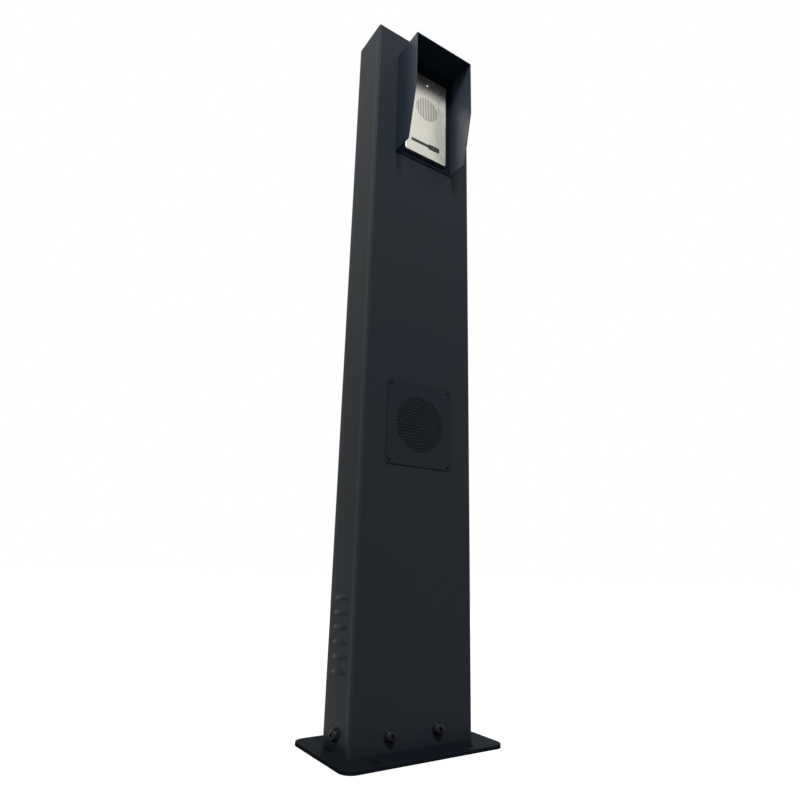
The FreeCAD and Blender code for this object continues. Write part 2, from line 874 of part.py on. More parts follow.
def make_button_switch():
    """Small push switch on the circuit board, in line with the button's stem."""
    half = switch_size / 2
    body = box(button_x - half, button_x + half, switch_top, board_front, button_centre - half,
               button_centre + half)
    tip = rod(switch_tip_radius, V(button_x, switch_tip, button_centre),
              V(button_x, board_front, button_centre))
    return body.fuse(tip)


def make_status_lens():
    """Light pipe from the circuit board to the panel's face."""
    flange_end = panel_back + light_flange_thickness
    profile = [(0, panel_face - light_proud), (light_tip_radius, panel_face - light_proud),
               (light_radius, panel_face), (light_radius, panel_back),
               (light_flange_radius, panel_back), (light_flange_radius, flange_end),
               (light_radius, flange_end), (light_radius, board_front), (0, board_front)]
    return turned(profile, 0, light_centre)


def make_microphone():
    """Microphone capsule in its rubber boot, between the panel and the board."""
    capsule_front = board_front - mic_capsule_length
    boot = [(mic_hole_radius, panel_back), (mic_boot_radius, panel_back),
            (mic_boot_radius, board_front), (mic_capsule_radius + thread_gap, board_front),
            (mic_capsule_radius + thread_gap, capsule_front), (mic_hole_radius, capsule_front)]
    capsule = rod(mic_capsule_radius, V(mic_x, capsule_front, mic_centre),
                  V(mic_x, board_front, mic_centre))
    return capsule, turned(boot, mic_x, mic_centre)


def make_circuit_board():
    """Board with a round cut-out for the loudspeaker, a terminal strip and two chips."""
    half = board_width / 2
    board = box(-half, half, board_front, board_back, panel_centre - board_height / 2,
                panel_centre + board_height / 2)
    clearance = panel_driver_radius + board_driver_gap
    board = drill(board, clearance, [V(0, board_front, slot_field_centre)], BACK,
                  2 * board_thickness)
    strip_centre = panel_centre - board_height / 2 + terminal_strip_height
    strip = box(-terminal_strip_width / 2, terminal_strip_width / 2, board_back,
                board_back + terminal_strip_depth, strip_centre - terminal_strip_height / 2,
                strip_centre + terminal_strip_height / 2)
    chips = [box(x - chip_size / 2, x + chip_size / 2, board_back, board_back + chip_height,
                 mic_centre - chip_size / 2, mic_centre + chip_size / 2)
             for x in (-chip_size, chip_size)]
    board = board.fuse([strip] + chips)
    return drill(board, board_screw_size / 2 + screw_hole_gap, board_screw_points(board_front), BACK,
                 2 * board_thickness)


def make_board_standoffs():
    """Threaded hexagonal posts on the back of the panel that carry the board."""
    posts = []
    for point in board_screw_points(panel_back):
        post = hexagon_post(standoff_width, point, BACK * board_standoff)
        end = point + BACK * board_standoff
        posts.append(drill(post, board_screw_size / 2 + thread_gap, [end], BACK, board_screw_length))
    return posts


def make_panel_driver():
    """Small loudspeaker behind the slots: cushion, frame, cone and magnet."""
    z = slot_field_centre
    start = panel_back + panel_driver_cushion
    end = start + panel_driver_depth
    wall = panel_driver_wall
    rim = panel_driver_radius - panel_driver_cushion_width
    throat = panel_magnet_radius
    cushion = washer(panel_driver_radius, rim, V(0, panel_back, z), V(0, start, z))
    frame = turned([(rim, start), (panel_driver_radius, start), (panel_driver_radius, start + wall),
                    (rim + wall, start + wall), (throat, end), (throat / 2, end),
                    (throat / 2, end - wall), (throat - wall, end - wall),
                    (rim, start + wall)], 0, z)
    neck = throat / 2
    foot_end = end - panel_cone_rise
    cone = turned([(0, foot_end - wall), (neck, foot_end - wall), (rim - wall, start), (rim, start),
                   (rim, start + wall), (rim - wall, start + wall), (neck, foot_end),
                   (0, foot_end)], 0, z)
    magnet = rod(throat, V(0, end, z), V(0, end + panel_magnet_depth, z))
    return cushion, frame, cone, magnet


def make_grille():
    """Perforated plate with hexagonal holes in a round field, and four studs behind it."""
    half = grille_width / 2
    z0 = grille_centre - grille_height / 2
    z1 = grille_centre + grille_height / 2
    plate = slab(-half, half, grille_face, grille_back, z0, z1, grille_corner_radius, BACK)
    studs = [rod(driver_stud_size / 2, point, point + BACK * driver_stud_length)
             for point in driver_stud_points(grille_back)]
    plate = plate.fuse(studs)
    plate = drill(plate, grille_screw_size / 2 + screw_hole_gap, grille_screw_points(grille_back),
                  BACK, 2 * grille_sheet)
    punch = hexagon(perforation_width, 4 * grille_sheet)
    start = grille_back + 2 * grille_sheet
    return plate.cut([placed(punch, point, BACK) for point in perforation_points(start)])


def perforation_points(y):
    """Hole centres in staggered rows, all inside the basket's rim."""
    row_pitch = perforation_pitch * math.sqrt(3) / 2
    limit = basket_rim_radius - perforation_width / 2
    rows = int(limit // row_pitch)
    columns = int(limit // perforation_pitch) + 1
    points = []
    for row in range(-rows, rows + 1):
        z = row * row_pitch
        offset = perforation_pitch / 2 if row % 2 else 0
        for column in range(-columns, columns + 1):
            x = column * perforation_pitch + offset
            if math.hypot(x, z) <= limit:
                points.append(V(x, y, grille_centre + z))
    return points


def make_grille_seal():
    """Rubber seal between the loudspeaker plate and the pillar."""
    half = grille_width / 2 - grille_seal_inset
    half_height = grille_height / 2 - grille_seal_inset
    seal = slab(-half, half, grille_back, front, grille_centre - half_height,
                grille_centre + half_height, grille_corner_radius, BACK)
    middle = [V(0, front, grille_centre)]
    seal = drill(seal, driver_hole_radius, middle, BACK, 2 * grille_seal)
    return drill(seal, grille_screw_size / 2 + screw_hole_gap, grille_screw_points(front), BACK,
                 2 * grille_seal)


def make_membrane():
    """Splash membrane clamped between the perforated plate and the loudspeaker."""
    radius = driver_stud_circle - driver_stud_size / 2 - membrane_edge_gap
    return rod(radius, V(0, grille_back, grille_centre), V(0, driver_front, grille_centre))


def make_basket():
    """Pressed loudspeaker basket with windows between its arms."""
    rim = basket_rim_radius
    wall = basket_wall
    flange_end = driver_front + driver_flange
    throat = coil_radius + 2 * coil_gap
    profile = [(rim - basket_ledge, ledge), (rim, ledge), (rim, driver_front),
               (driver_radius, driver_front), (driver_radius, flange_end), (rim, flange_end),
               (basket_back_radius, basket_back), (throat, basket_back), (throat, basket_back - wall),
               (basket_back_radius - wall, basket_back - wall),
               (rim - basket_ledge, flange_end)]
    basket = turned(profile, 0, grille_centre)
    basket = drill(basket, driver_stud_size / 2 + screw_hole_gap, driver_stud_points(driver_front),
                   BACK, 2 * driver_flange)
    windows = []
    for i in range(basket_window_count):
        window = box(-basket_window_width / 2, basket_window_width / 2,
                     flange_end + basket_window_margin, basket_back - basket_window_margin,
                     grille_centre, grille_centre + 2 * rim)
        window.rotate(V(0, 0, grille_centre), BACK, i * 360 / basket_window_count)
        windows.append(window)
    return basket.cut(windows)


def make_cone():
    """Paper cone with its coil former and dust cap."""
    rim = basket_rim_radius - surround_lip - 2 * surround_roll
    neck = ledge + cone_depth
    wall = cone_thickness
    outline = [(0, neck - dust_cap_rise), (coil_radius, neck), (rim, ledge), (rim, ledge + wall),
               (coil_radius, neck + 2 * wall), (coil_radius, neck + coil_length),
               (coil_radius - coil_thickness, neck + coil_length),
               (coil_radius - coil_thickness, neck + wall), (0, neck + wall - dust_cap_rise)]
    return turned(outline, 0, grille_centre)


def make_surround():
    """Rubber ring with one pleat, between the cone's rim and the basket's ledge."""
    outer = basket_rim_radius - surround_lip
    middle = outer - surround_roll
    inner = middle - surround_roll
    wall = surround_thickness
    top = ledge - wall
    outline = [(basket_rim_radius - thread_gap, top), (basket_rim_radius - thread_gap, ledge),
               (outer, ledge), (middle, ledge + surround_roll), (inner, ledge),
               (inner - surround_lip, ledge), (inner - surround_lip, top), (inner, top),
               (middle, top + surround_roll), (outer, top)]
    return turned(outline, 0, grille_centre)


def make_driver_magnet():
    """Magnet and yoke with the ring gap that the coil runs in."""
    start = basket_back
    end = start + magnet_depth
    pole = coil_radius - coil_thickness - coil_gap
    gap_end = end - magnet_back
    outer_wall = coil_radius + coil_gap
    profile = [(0, start), (pole, start), (pole, gap_end), (outer_wall, gap_end),
               (outer_wall, start), (magnet_radius, start), (magnet_radius, end), (0, end)]
    return turned(profile, 0, grille_centre)


def make_equipment_plate():
    """Plate that carries the electrics, on four studs behind the pillar's front."""
    half = equipment_width / 2
    plate = slab(-half, half, equipment_front, equipment_face, equipment_bottom,
                 equipment_bottom + equipment_height, equipment_stud_inset / 2, BACK)
    plate = drill(plate, equipment_stud_size / 2 + screw_hole_gap,
                  equipment_stud_points(equipment_front), BACK, 2 * equipment_sheet)
    plate = drill(plate, rail_screw_size / 2 + thread_gap, rail_screw_points(equipment_face), BACK,
                  2 * equipment_sheet)
    return drill(plate, amplifier_screw_size / 2 + thread_gap,
                 amplifier_screw_points(equipment_face), BACK, 2 * equipment_sheet)


def make_equipment_fasteners():
    """Shouldered weld studs and their nuts."""
    studs = []
    nuts = []
    hex_nut = nut(equipment_stud_size, equipment_nut_width, equipment_nut_height)
    for point in equipment_stud_points(inner_front):
        seat = point + BACK * equipment_stand
        post = hexagon_post(equipment_stand_width, point, BACK * equipment_stand)
        thread = rod(equipment_stud_size / 2, point, seat + BACK * equipment_stud_length)
        studs.append(post.fuse(thread))
        top = V(point.x, equipment_face, point.z)
        nuts.append(placed(hex_nut, top, FRONT))
    return studs, nuts


def rail_screw_points(y):
    return [V(i * rail_screw_spacing / 2, y, rail_centre) for i in (-1, 1)]


def make_rail():
    """Top-hat mounting rail."""
    web = rail_web_height / 2
    brim = rail_height / 2
    base = equipment_face
    x = -rail_length / 2
    outline = [(base, -web), (base, web), (rail_face - rail_sheet, web), (rail_face - rail_sheet, brim),
               (rail_face, brim), (rail_face, web - rail_sheet), (base + rail_sheet, web - rail_sheet),
               (base + rail_sheet, -web + rail_sheet), (rail_face, -web + rail_sheet),
               (rail_face, -brim), (rail_face - rail_sheet, -brim), (rail_face - rail_sheet, -web)]
    points = [V(x, y, rail_centre + z) for y, z in outline]
    rail = prism(points, RIGHT * rail_length)
    return drill(rail, rail_screw_size / 2 + screw_hole_gap, rail_screw_points(base), BACK,
                 2 * rail_sheet)


def make_power_supply():
    """Stepped housing clipped on the rail."""
    x = supply_x - supply_width / 2
    tall = supply_height / 2
    nose = supply_nose_height / 2
    shoulder = rail_face + supply_shoulder
    end = rail_face + supply_depth
    outline = [(rail_face, -tall), (rail_face, tall), (shoulder, tall), (shoulder, nose),
               (end, nose), (end, -nose), (shoulder, -nose), (shoulder, -tall)]
    points = [V(x, y, rail_centre + z) for y, z in outline]
    return prism(points, RIGHT * supply_width)


def make_terminals():
    """Row of terminal blocks, each with two driver wells."""
    blocks = []
    half = terminal_height / 2
    end = rail_face + terminal_depth
    reach = terminal_well / 2
    for i in range(terminal_count):
        x = terminal_start + i * terminal_pitch
        block = box(x, x + terminal_width, rail_face, end, rail_centre - half, rail_centre + half)
        middle = x + terminal_width / 2
        for k in (-1, 1):
            z = rail_centre + k * (half - terminal_well_inset)
            block = block.cut(box(middle - reach, middle + reach, end - terminal_well_depth,
                                  end + through, z - reach, z + reach))
        blocks.append(block)
    return blocks


def amplifier_screw_points(y):
    x = amplifier_width / 2 + amplifier_foot / 2
    inset = amplifier_foot
    return [V(i * x, y, z) for i in (-1, 1) for z in (amplifier_bottom + inset, amplifier_top - inset)]


def make_amplifier_case():
    """Extruded case with cooling fins and feet."""
    half = amplifier_width / 2
    wall = amplifier_wall
    end = equipment_face + amplifier_depth
    z0 = amplifier_bottom
    z1 = amplifier_top
    body = box(-half, half, equipment_face, end, z0, z1)
    hollow = box(-half + wall, half - wall, equipment_face + wall, end - wall, z0 - through,
                 z1 + through)
    reach = half + amplifier_foot
    feet = box(-reach, reach, equipment_face, equipment_face + wall, z0, z1)
    step = (amplifier_width - fin_thickness) / (fin_count - 1)
    fins = [box(-half + i * step, -half + i * step + fin_thickness, end - wall, end + fin_height,
                z0, z1) for i in range(fin_count)]
    case = body.cut(hollow).fuse([feet] + fins).removeSplitter()
    return drill(case, amplifier_screw_size / 2 + screw_hole_gap,
                 amplifier_screw_points(equipment_face), BACK, 2 * wall)


def make_amplifier_end_plates():
    """Plates that close the amplifier case above and below."""
    half = amplifier_width / 2
    end = equipment_face + amplifier_depth
    plates = []
    for z in (amplifier_bottom - end_plate_thickness, amplifier_top):
        plates.append(box(-half, half, equipment_face, end, z, z + end_plate_thickness))
    return plates


def screws(screw, points, outward, stand):
    """One screw at each point, its seat raised off the wall by a stand."""
    return [placed(screw, point + outward * stand, outward) for point in points]


def weld_nuts(size, sheet, points, outward):
    """One hexagon weld nut on the inside of the wall at each point."""
    hex_nut = nut(size, weld_nut_ratio * size, weld_nut_height_ratio * size)
    return [placed(hex_nut, point - outward * sheet, outward) for point in points]


def build_post():
    """All pieces by name; a name with several solids is a set of like pieces."""
    nodes = {}
    nodes["base_plate"] = [make_base_plate()]
    nodes["foot_frame"] = [make_foot_frame()]
    bolts, washers, nuts = make_foot_fasteners()
    nodes["foot_bolts"] = bolts
    nodes["foot_washers"] = washers
    nodes["foot_nuts"] = nuts
    stud, stud_nuts = make_earth_stud()
    nodes["earth_stud"] = [stud]
    nodes["earth_stud_nuts"] = stud_nuts

    nodes["pillar_shell"] = [make_pillar_shell()]
    nodes["rear_cover"] = [make_rear_cover()]
    cover_screw = button_screw(cover_screw_size, cover_screw_length)
    nodes["rear_cover_screws"] = screws(cover_screw, cover_screw_points(), BACK, cover_sheet)
    nodes["rear_cover_nuts"] = weld_nuts(cover_screw_size, pillar_sheet, cover_screw_points(), BACK)

    nodes["rain_hood"] = [make_rain_hood()]
    nodes["back_box"] = [make_back_box()]
    nodes["back_box_seal"] = [make_back_box_seal()]
    stand = hood_sheet + box_seal_thickness + box_flange_sheet
    box_screw = hex_screw(box_screw_size, box_screw_length)
    nodes["back_box_screws"] = screws(box_screw, box_screw_points(front), FRONT, stand)
    nodes["back_box_nuts"] = weld_nuts(box_screw_size, pillar_sheet, box_screw_points(front), FRONT)
    nodes["box_grommet"] = [make_box_grommet()]

    nodes["call_panel"] = [make_call_panel()]
    panel_bottom = panel_centre - panel_height / 2
    panel_screw = hex_screw(panel_screw_size, panel_screw_length)
    nodes["panel_screws"] = screws(panel_screw, panel_screw_points(panel_bottom), DOWN, 0)
    nodes["status_lens"] = [make_status_lens()]
    nodes["name_window"] = [make_name_window()]
    nodes["name_card"] = [make_name_card()]
    nodes["call_button"] = [make_call_button()]
    nodes["key_holder"] = [make_key_holder()]
    nodes["button_spring"] = [make_button_spring()]
    nodes["button_switch"] = [make_button_switch()]
    capsule, boot = make_microphone()
    nodes["microphone"] = [capsule]
    nodes["microphone_boot"] = [boot]
    nodes["circuit_board"] = [make_circuit_board()]
    nodes["board_standoffs"] = make_board_standoffs()
    board_screw = hex_screw(board_screw_size, board_screw_length)
    nodes["board_screws"] = screws(board_screw, board_screw_points(board_back), BACK, 0)
    cushion, frame, cone, magnet = make_panel_driver()
    nodes["panel_speaker_cushion"] = [cushion]
    nodes["panel_speaker_frame"] = [frame]
    nodes["panel_speaker_cone"] = [cone]
    nodes["panel_speaker_magnet"] = [magnet]

    nodes["speaker_grille"] = [make_grille()]
    nodes["speaker_grille_seal"] = [make_grille_seal()]
    grille_screw = button_screw(grille_screw_size, grille_screw_length)
    nodes["speaker_grille_screws"] = screws(grille_screw, grille_screw_points(grille_face), FRONT, 0)
    nodes["speaker_grille_nuts"] = weld_nuts(grille_screw_size, pillar_sheet,
                                             grille_screw_points(front), FRONT)
    nodes["splash_membrane"] = [make_membrane()]
    nodes["loudspeaker_basket"] = [make_basket()]
    nodes["loudspeaker_cone"] = [make_cone()]
    nodes["loudspeaker_surround"] = [make_surround()]
    nodes["loudspeaker_magnet"] = [make_driver_magnet()]
    driver_nut = nut(driver_stud_size, driver_nut_width, driver_nut_height)
    nodes["loudspeaker_nuts"] = [placed(driver_nut, point, FRONT)
                                 for point in driver_stud_points(driver_front + driver_flange)]

    nodes["equipment_plate"] = [make_equipment_plate()]
    studs, stud_caps = make_equipment_fasteners()
    nodes["equipment_studs"] = studs
    nodes["equipment_nuts"] = stud_caps
    nodes["mounting_rail"] = [make_rail()]
    rail_screw = hex_screw(rail_screw_size, rail_screw_length)
    nodes["rail_screws"] = screws(rail_screw, rail_screw_points(equipment_face), BACK, rail_sheet)
    nodes["power_supply"] = [make_power_supply()]
    nodes["terminal_blocks"] = make_terminals()
    nodes["amplifier_case"] = [make_amplifier_case()]
    nodes["amplifier_end_plates"] = make_amplifier_end_plates()
    foot_screw = hex_screw(amplifier_screw_size, amplifier_screw_length)
    nodes["amplifier_screws"] = screws(foot_screw, amplifier_screw_points(equipment_face), BACK,
                                       amplifier_wall)
    return nodes


os.makedirs("parts", exist_ok=True)
for name, solids in build_post().items():
    shape = solids[0] if len(solids) == 1 else Part.makeCompound(solids)
    shape.exportStep("parts/" + name + ".step")
    print(name, len(shape.Solids), "solid(s),", round(shape.Volume), "mm3")
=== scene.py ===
# %% [markdown]
# # A drive-up call post, dressed for its portrait
# The post is a tall black powder-coated pillar with a hooded silver call panel near its top and a
# loudspeaker behind a perforated plate. Its construction is already made and comes in as a fixed
# frame. This script gives every piece its finish, remakes the pieces whose small curves show in a
# close look, and sets up a camera low in front of the post.

# %% Load the frame
import math

import bmesh
import bpy
from mathutils import Matrix, Vector


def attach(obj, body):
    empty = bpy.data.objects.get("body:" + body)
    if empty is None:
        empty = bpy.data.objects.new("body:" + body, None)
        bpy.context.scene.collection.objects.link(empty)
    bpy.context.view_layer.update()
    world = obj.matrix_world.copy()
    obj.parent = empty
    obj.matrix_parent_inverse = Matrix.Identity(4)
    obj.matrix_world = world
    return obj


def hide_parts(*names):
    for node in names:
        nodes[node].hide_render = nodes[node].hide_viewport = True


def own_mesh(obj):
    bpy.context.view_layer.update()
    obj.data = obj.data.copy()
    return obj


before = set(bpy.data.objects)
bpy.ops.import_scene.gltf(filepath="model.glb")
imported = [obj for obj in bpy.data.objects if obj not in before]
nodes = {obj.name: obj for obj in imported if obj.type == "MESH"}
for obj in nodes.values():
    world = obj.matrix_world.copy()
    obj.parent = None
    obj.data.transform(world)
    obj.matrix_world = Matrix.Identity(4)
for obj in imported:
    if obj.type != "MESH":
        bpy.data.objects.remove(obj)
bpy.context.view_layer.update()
print("nodes in the frame:", len(nodes))

# %% [markdown]
# ## The camera
# The photo was taken from low down, a little over a metre away, looking up past the post's left
# edge. A wide lens close to a tall object makes its top recede, which is why the pillar narrows
# towards the top. The place, the turn and the lens below were fitted to the pillar's corners, so
# they are real sizes. A camera looks along its own -Z, so it is first tipped up from straight
# down, then turned about the vertical.

# %% Place the camera
MM = 0.001
CAMERA_PLACE = Vector((-639.0, -959.5, 298.8)) * MM
CAMERA_YAW = math.radians(32.98)
CAMERA_PITCH = math.radians(16.16)
CAMERA_ROLL = math.radians(1.51)
FOCAL_PIXELS = 582
PICTURE_PIXELS = 800
SENSOR = 36


def place_camera():
    data = bpy.data.cameras.new("camera")
    data.sensor_width = SENSOR
    data.lens = SENSOR * FOCAL_PIXELS / PICTURE_PIXELS
    camera = bpy.data.objects.new("camera", data)
    turn = Matrix.Rotation(-CAMERA_YAW, 4, "Z")
    tip = Matrix.Rotation(math.pi / 2 + CAMERA_PITCH, 4, "X")
    roll = Matrix.Rotation(CAMERA_ROLL, 4, "Z")
    camera.matrix_world = Matrix.Translation(CAMERA_PLACE) @ turn @ tip @ roll
    bpy.context.scene.collection.objects.link(camera)
    bpy.context.scene.camera = camera
    return data.lens


print("lens in millimetres:", round(place_camera(), 2))

# %% [markdown]
# ## Shader arithmetic
# A procedural finish is a formula over the surface: a little noise here, a mask there. Wiring
# Math nodes by hand hides the formula, so a small class wraps a socket and lets Python's own
# plus, minus and times build the nodes.

# %% Wrap a socket so that it can be added and multiplied


class Field:
    """A socket that varies over the surface, with arithmetic that adds Math nodes."""

    def __init__(self, paint, socket):
        self.paint = paint
        self.socket = socket

    def math(self, operation, first, second):
        return self.paint.node("ShaderNodeMath", {"operation": operation}, {0: first, 1: second})

    def __add__(self, other):
        return self.math("ADD", self, other)

    def __sub__(self, other):
        return self.math("SUBTRACT", self, other)

    def __rsub__(self, other):
        return self.math("SUBTRACT", other, self)

    def __mul__(self, other):
        return self.math("MULTIPLY", self, other)

    __radd__ = __add__
    __rmul__ = __mul__


print("reflected operators:", sorted(name for name in vars(Field) if name.startswith("__r")))

# %% [markdown]
# ## A brush for node trees
# Every finish below starts from an empty tree and adds nodes to it: noise, masks, blends and a
# bump. One method adds any node, with its settings first and then the values or links of its
# sockets, and the others are short names for what is used often. Colours and vectors are mixed
# with their own nodes, because a Math node would turn them grey.

# %% Make the brush


class Paint:
    """A node tree, emptied, to which nodes are added one call at a time."""

    def __init__(self, tree):
        self.tree = tree
        self.tree.nodes.clear()

    def node(self, kind, settings=None, sockets=None, output=0):
        made = self.tree.nodes.new(kind)
        for key, value in (settings or {}).items():
            if key == "stops":
                for element, (position, level) in zip(made.color_ramp.elements, value):
                    element.position = position
                    element.color = (level, level, level, 1)
            else:
                setattr(made, key, value)
        for key, value in (sockets or {}).items():
            if isinstance(value, Field):
                self.tree.links.new(value.socket, made.inputs[key])
            else:
                made.inputs[key].default_value = value
        return Field(self, made.outputs[output])

    def place(self):
        """The point on the piece in metres."""
        return self.node("ShaderNodeTexCoord", output="Object")

    def stretched(self, scale, move=(0, 0, 0), where=None):
        """The point on the piece, scaled along each axis and then moved."""
        sockets = {"Vector": where or self.place(), "Scale": scale, "Location": move}
        return self.node("ShaderNodeMapping", None, sockets)

    def noise(self, per_metre, detail=2, roughness=0.5, where=None):
        """Cloudy values near one half, with so many lumps to the metre."""
        sockets = {"Vector": where or self.place(), "Scale": per_metre, "Detail": detail,
                   "Roughness": roughness}
        return self.node("ShaderNodeTexNoise", None, sockets)

    def ramp(self, value, low, high):
        """Zero below the first level and one above the second."""
        return self.node("ShaderNodeValToRGB", {"stops": [(low, 0), (high, 1)]}, {"Fac": value})

    def away(self, offset, near, far):
        """Zero where an offset is shorter than the near distance, and one beyond the far one."""
        length = self.node("ShaderNodeVectorMath", {"operation": "LENGTH"}, {0: offset}, "Value")
        return self.ramp(length * (1 / far), near / far, 1)

    def within(self, axis, middle, reach):
        """One where the point lies within a reach of a middle along one axis."""
        along = self.node("ShaderNodeSeparateXYZ", None, {0: self.place()}, axis)
        return self.node("ShaderNodeMath", {"operation": "COMPARE"},
                         {0: along, 1: middle, 2: reach})

    def blend(self, share, first, second):
        """A colour between two colours."""
        return self.node("ShaderNodeMix", {"data_type": "RGBA"}, {0: share, 6: first, 7: second},
                         output=2)

    def bump(self, height, depth):
        """A normal that follows a height field of so many metres."""
        return self.node("ShaderNodeBump", None, {"Height": height, "Distance": depth})

    def finish(self, **sockets):
        """The surface itself, with its named sockets."""
        named = {key.replace("_", " "): value for key, value in sockets.items()}
        surface = self.node("ShaderNodeBsdfPrincipled", None, named, output="BSDF")
        self.output("ShaderNodeOutputMaterial", surface)

    def output(self, kind, surface):
        end = self.tree.nodes.new(kind)
        self.tree.links.new(surface.socket, end.inputs["Surface"])


def new_paint(name):
    """A new material and the brush that writes its nodes."""
    material = bpy.data.materials.new(name)
    material.use_nodes = True
    return material, Paint(material.node_tree)


print("the brush is ready")

# %% [markdown]
# ## The studio
# The photo is a cut-out on pure white. A white world and a white floor give that ground, and the
# floor keeps a soft shadow, so the post still stands on something. The world is white for the
# camera and in reflections, and much dimmer as a light, so that the black paint stays black and
# the hood is dark inside. The floor glows a little less near the post than far away, where it has
# to meet the white world without a line.

# %% Build the world and the floor
WORLD_LIGHT = 0.14
FLOOR_SIZE = 60
FLOOR_COLOUR = (0.3, 0.3, 0.3, 1)
FLOOR_GLOW = 0.9
FLOOR_FADE = (0.5, 2.5)


def white_for_sight(paint, dim_light):
    """One where the camera or a reflection looks, and a dimmer level as a light."""
    seen = paint.node("ShaderNodeLightPath", output="Is Camera Ray")
    glossy = paint.node("ShaderNodeLightPath", output="Is Glossy Ray")
    through = paint.node("ShaderNodeLightPath", output="Is Transmission Ray")
    sight = paint.node("ShaderNodeClamp", None, {"Value": seen + glossy + through})
    return sight * (1 - dim_light) + dim_light


def build_world():
    world = bpy.data.worlds.new("studio")
    world.use_nodes = True
    paint = Paint(world.node_tree)
    level = white_for_sight(paint, WORLD_LIGHT)
    sky = paint.node("ShaderNodeBackground", None, {"Color": (1, 1, 1, 1), "Strength": level})
    paint.output("ShaderNodeOutputWorld", sky)
    bpy.context.scene.world = world


def build_floor():
    shape = bmesh.new()
    bmesh.ops.create_grid(shape, x_segments=1, y_segments=1, size=FLOOR_SIZE / 2)
    mesh = bpy.data.meshes.new("floor")
    shape.to_mesh(mesh)
    shape.free()
    floor = bpy.data.objects.new("floor", mesh)
    bpy.context.scene.collection.objects.link(floor)
    material, paint = new_paint("studio_floor")
    chalk = paint.node("ShaderNodeBsdfDiffuse", None, {"Color": FLOOR_COLOUR}, output="BSDF")
    level = paint.away(paint.place(), *FLOOR_FADE) * (1 - FLOOR_GLOW) + FLOOR_GLOW
    glow = paint.node("ShaderNodeEmission", None, {"Strength": white_for_sight(paint, 0) * level})
    paint.output("ShaderNodeOutputMaterial",
                 paint.node("ShaderNodeAddShader", None, {0: chalk, 1: glow}))
    mesh.materials.append(material)


build_world()
build_floor()
bpy.context.scene.view_settings.view_transform = "Standard"
print("world level as a light:", WORLD_LIGHT)

# %% [markdown]
# ## The lamps
# The roof of the hood throws a clean shadow on the top of the call panel, so the key lamp isn't
# large and hangs in front, at the height that this shadow's edge tells. A second lamp on the left
# lights the side and the inside of the hood's right wall, and a third stands behind for the rear
# cover.

# %% Hang the lamps: place, size and watts
AIM = Vector((0, -0.05, 1.0))
LAMPS = {
    "key": (Vector((-0.5, -2.4, 3.75)), 0.8, 94),
    "side": (Vector((-1.85, -0.85, 2.3)), 0.8, 14),
    "back": (Vector((2.0, 2.6, 2.2)), 1.2, 80),
}


def hang_lamp(name, place, size, watts):
    data = bpy.data.lights.new(name, "AREA")
    data.size = size
    data.energy = watts
    lamp = bpy.data.objects.new(name, data)
    lamp.location = place
    lamp.rotation_euler = (AIM - place).to_track_quat("-Z", "Y").to_euler()
    bpy.context.scene.collection.objects.link(lamp)


for name, (place, size, watts) in LAMPS.items():
    hang_lamp(name, place, size, watts)
    print("hung the", name, "lamp,", watts, "watts")

# %% [markdown]
# ## Powder coat
# Powder is sprayed on dry and melted, so it covers evenly and leaves a faint orange peel: lumps a
# millimetre or two across and about a tenth high. Outdoors it dulls a little, and dust makes the
# dull patches uneven. So the bump is a fine noise, smudges of a hand's width move the roughness,
# and a slow noise drifts the colour between a green-black and a blue-black, as the photo shows.
# A painted highlight makes the outside of each bend a shade lighter, and painted shade darkens the
# punched field. Both are masks by distance: from the pillar's upright bends, with the sides
# mirrored, and from the middle of the loudspeaker's field.

# %% Write the recipe for powder coat
DRIFT_PER_METRE = 3.2
SMUDGE_PER_METRE = 14
PEEL_PER_METRE = 620
PEEL_DEPTH = 0.00012
GRAIN_PER_METRE = 2600
COAT_ROUGHNESS = 0.26
FIELD_OFFSET = (0, 0, -0.571)
FIELD_FADE = (0.052, 0.056)
# Painted shade: a darker colour over the punched field of holes.
FIELD_SHADE = (0.009, 0.012, 0.017, 1)
BEND_OFFSET = (-0.1280, -0.0405, 0)
BEND_FADE = (0.0045, 0.0095)
# Painted highlight: a lighter colour along the outside of the pillar's bends.
BEND_HIGHLIGHT = (0.048, 0.056, 0.063, 1)


def punched_field(paint):
    """One over the round field of holes in front of the loudspeaker."""
    return 1 - paint.away(paint.stretched((1, 0, 1), FIELD_OFFSET), *FIELD_FADE)


def upright_bends(paint):
    """One along the four upright bends of the pillar, where a highlight is painted."""
    mirrored = paint.node("ShaderNodeVectorMath", {"operation": "ABSOLUTE"}, {0: paint.place()})
    return 1 - paint.away(paint.stretched((1, 1, 0), BEND_OFFSET, mirrored), *BEND_FADE)


def powder_coat(name, warm, cool, shine, field_shade=0, bend_highlight=0):
    material, paint = new_paint(name)
    drift = paint.ramp(paint.noise(DRIFT_PER_METRE, detail=3), low=0.42, high=0.6)
    smudge = paint.noise(SMUDGE_PER_METRE, detail=4, roughness=0.6)
    grain = paint.noise(GRAIN_PER_METRE, detail=1)
    peel = paint.noise(PEEL_PER_METRE)
    colour = paint.blend(drift, warm, cool)
    # Painted shade over the punched field, when asked for.
    if field_shade:
        colour = paint.blend(punched_field(paint) * field_shade, colour, FIELD_SHADE)
    # A painted highlight along the upright bends, when asked for.
    if bend_highlight:
        colour = paint.blend(upright_bends(paint) * bend_highlight, colour, BEND_HIGHLIGHT)
    roughness = smudge * 0.12 + grain * 0.06 + COAT_ROUGHNESS
    relief = peel * 0.8 + grain * 0.2
    paint.finish(Base_Color=colour, Roughness=roughness, Normal=paint.bump(relief, PEEL_DEPTH),
                 Specular_IOR_Level=shine)
    return material


print("a bend is lighter within", BEND_FADE[1] / MM, "mm")
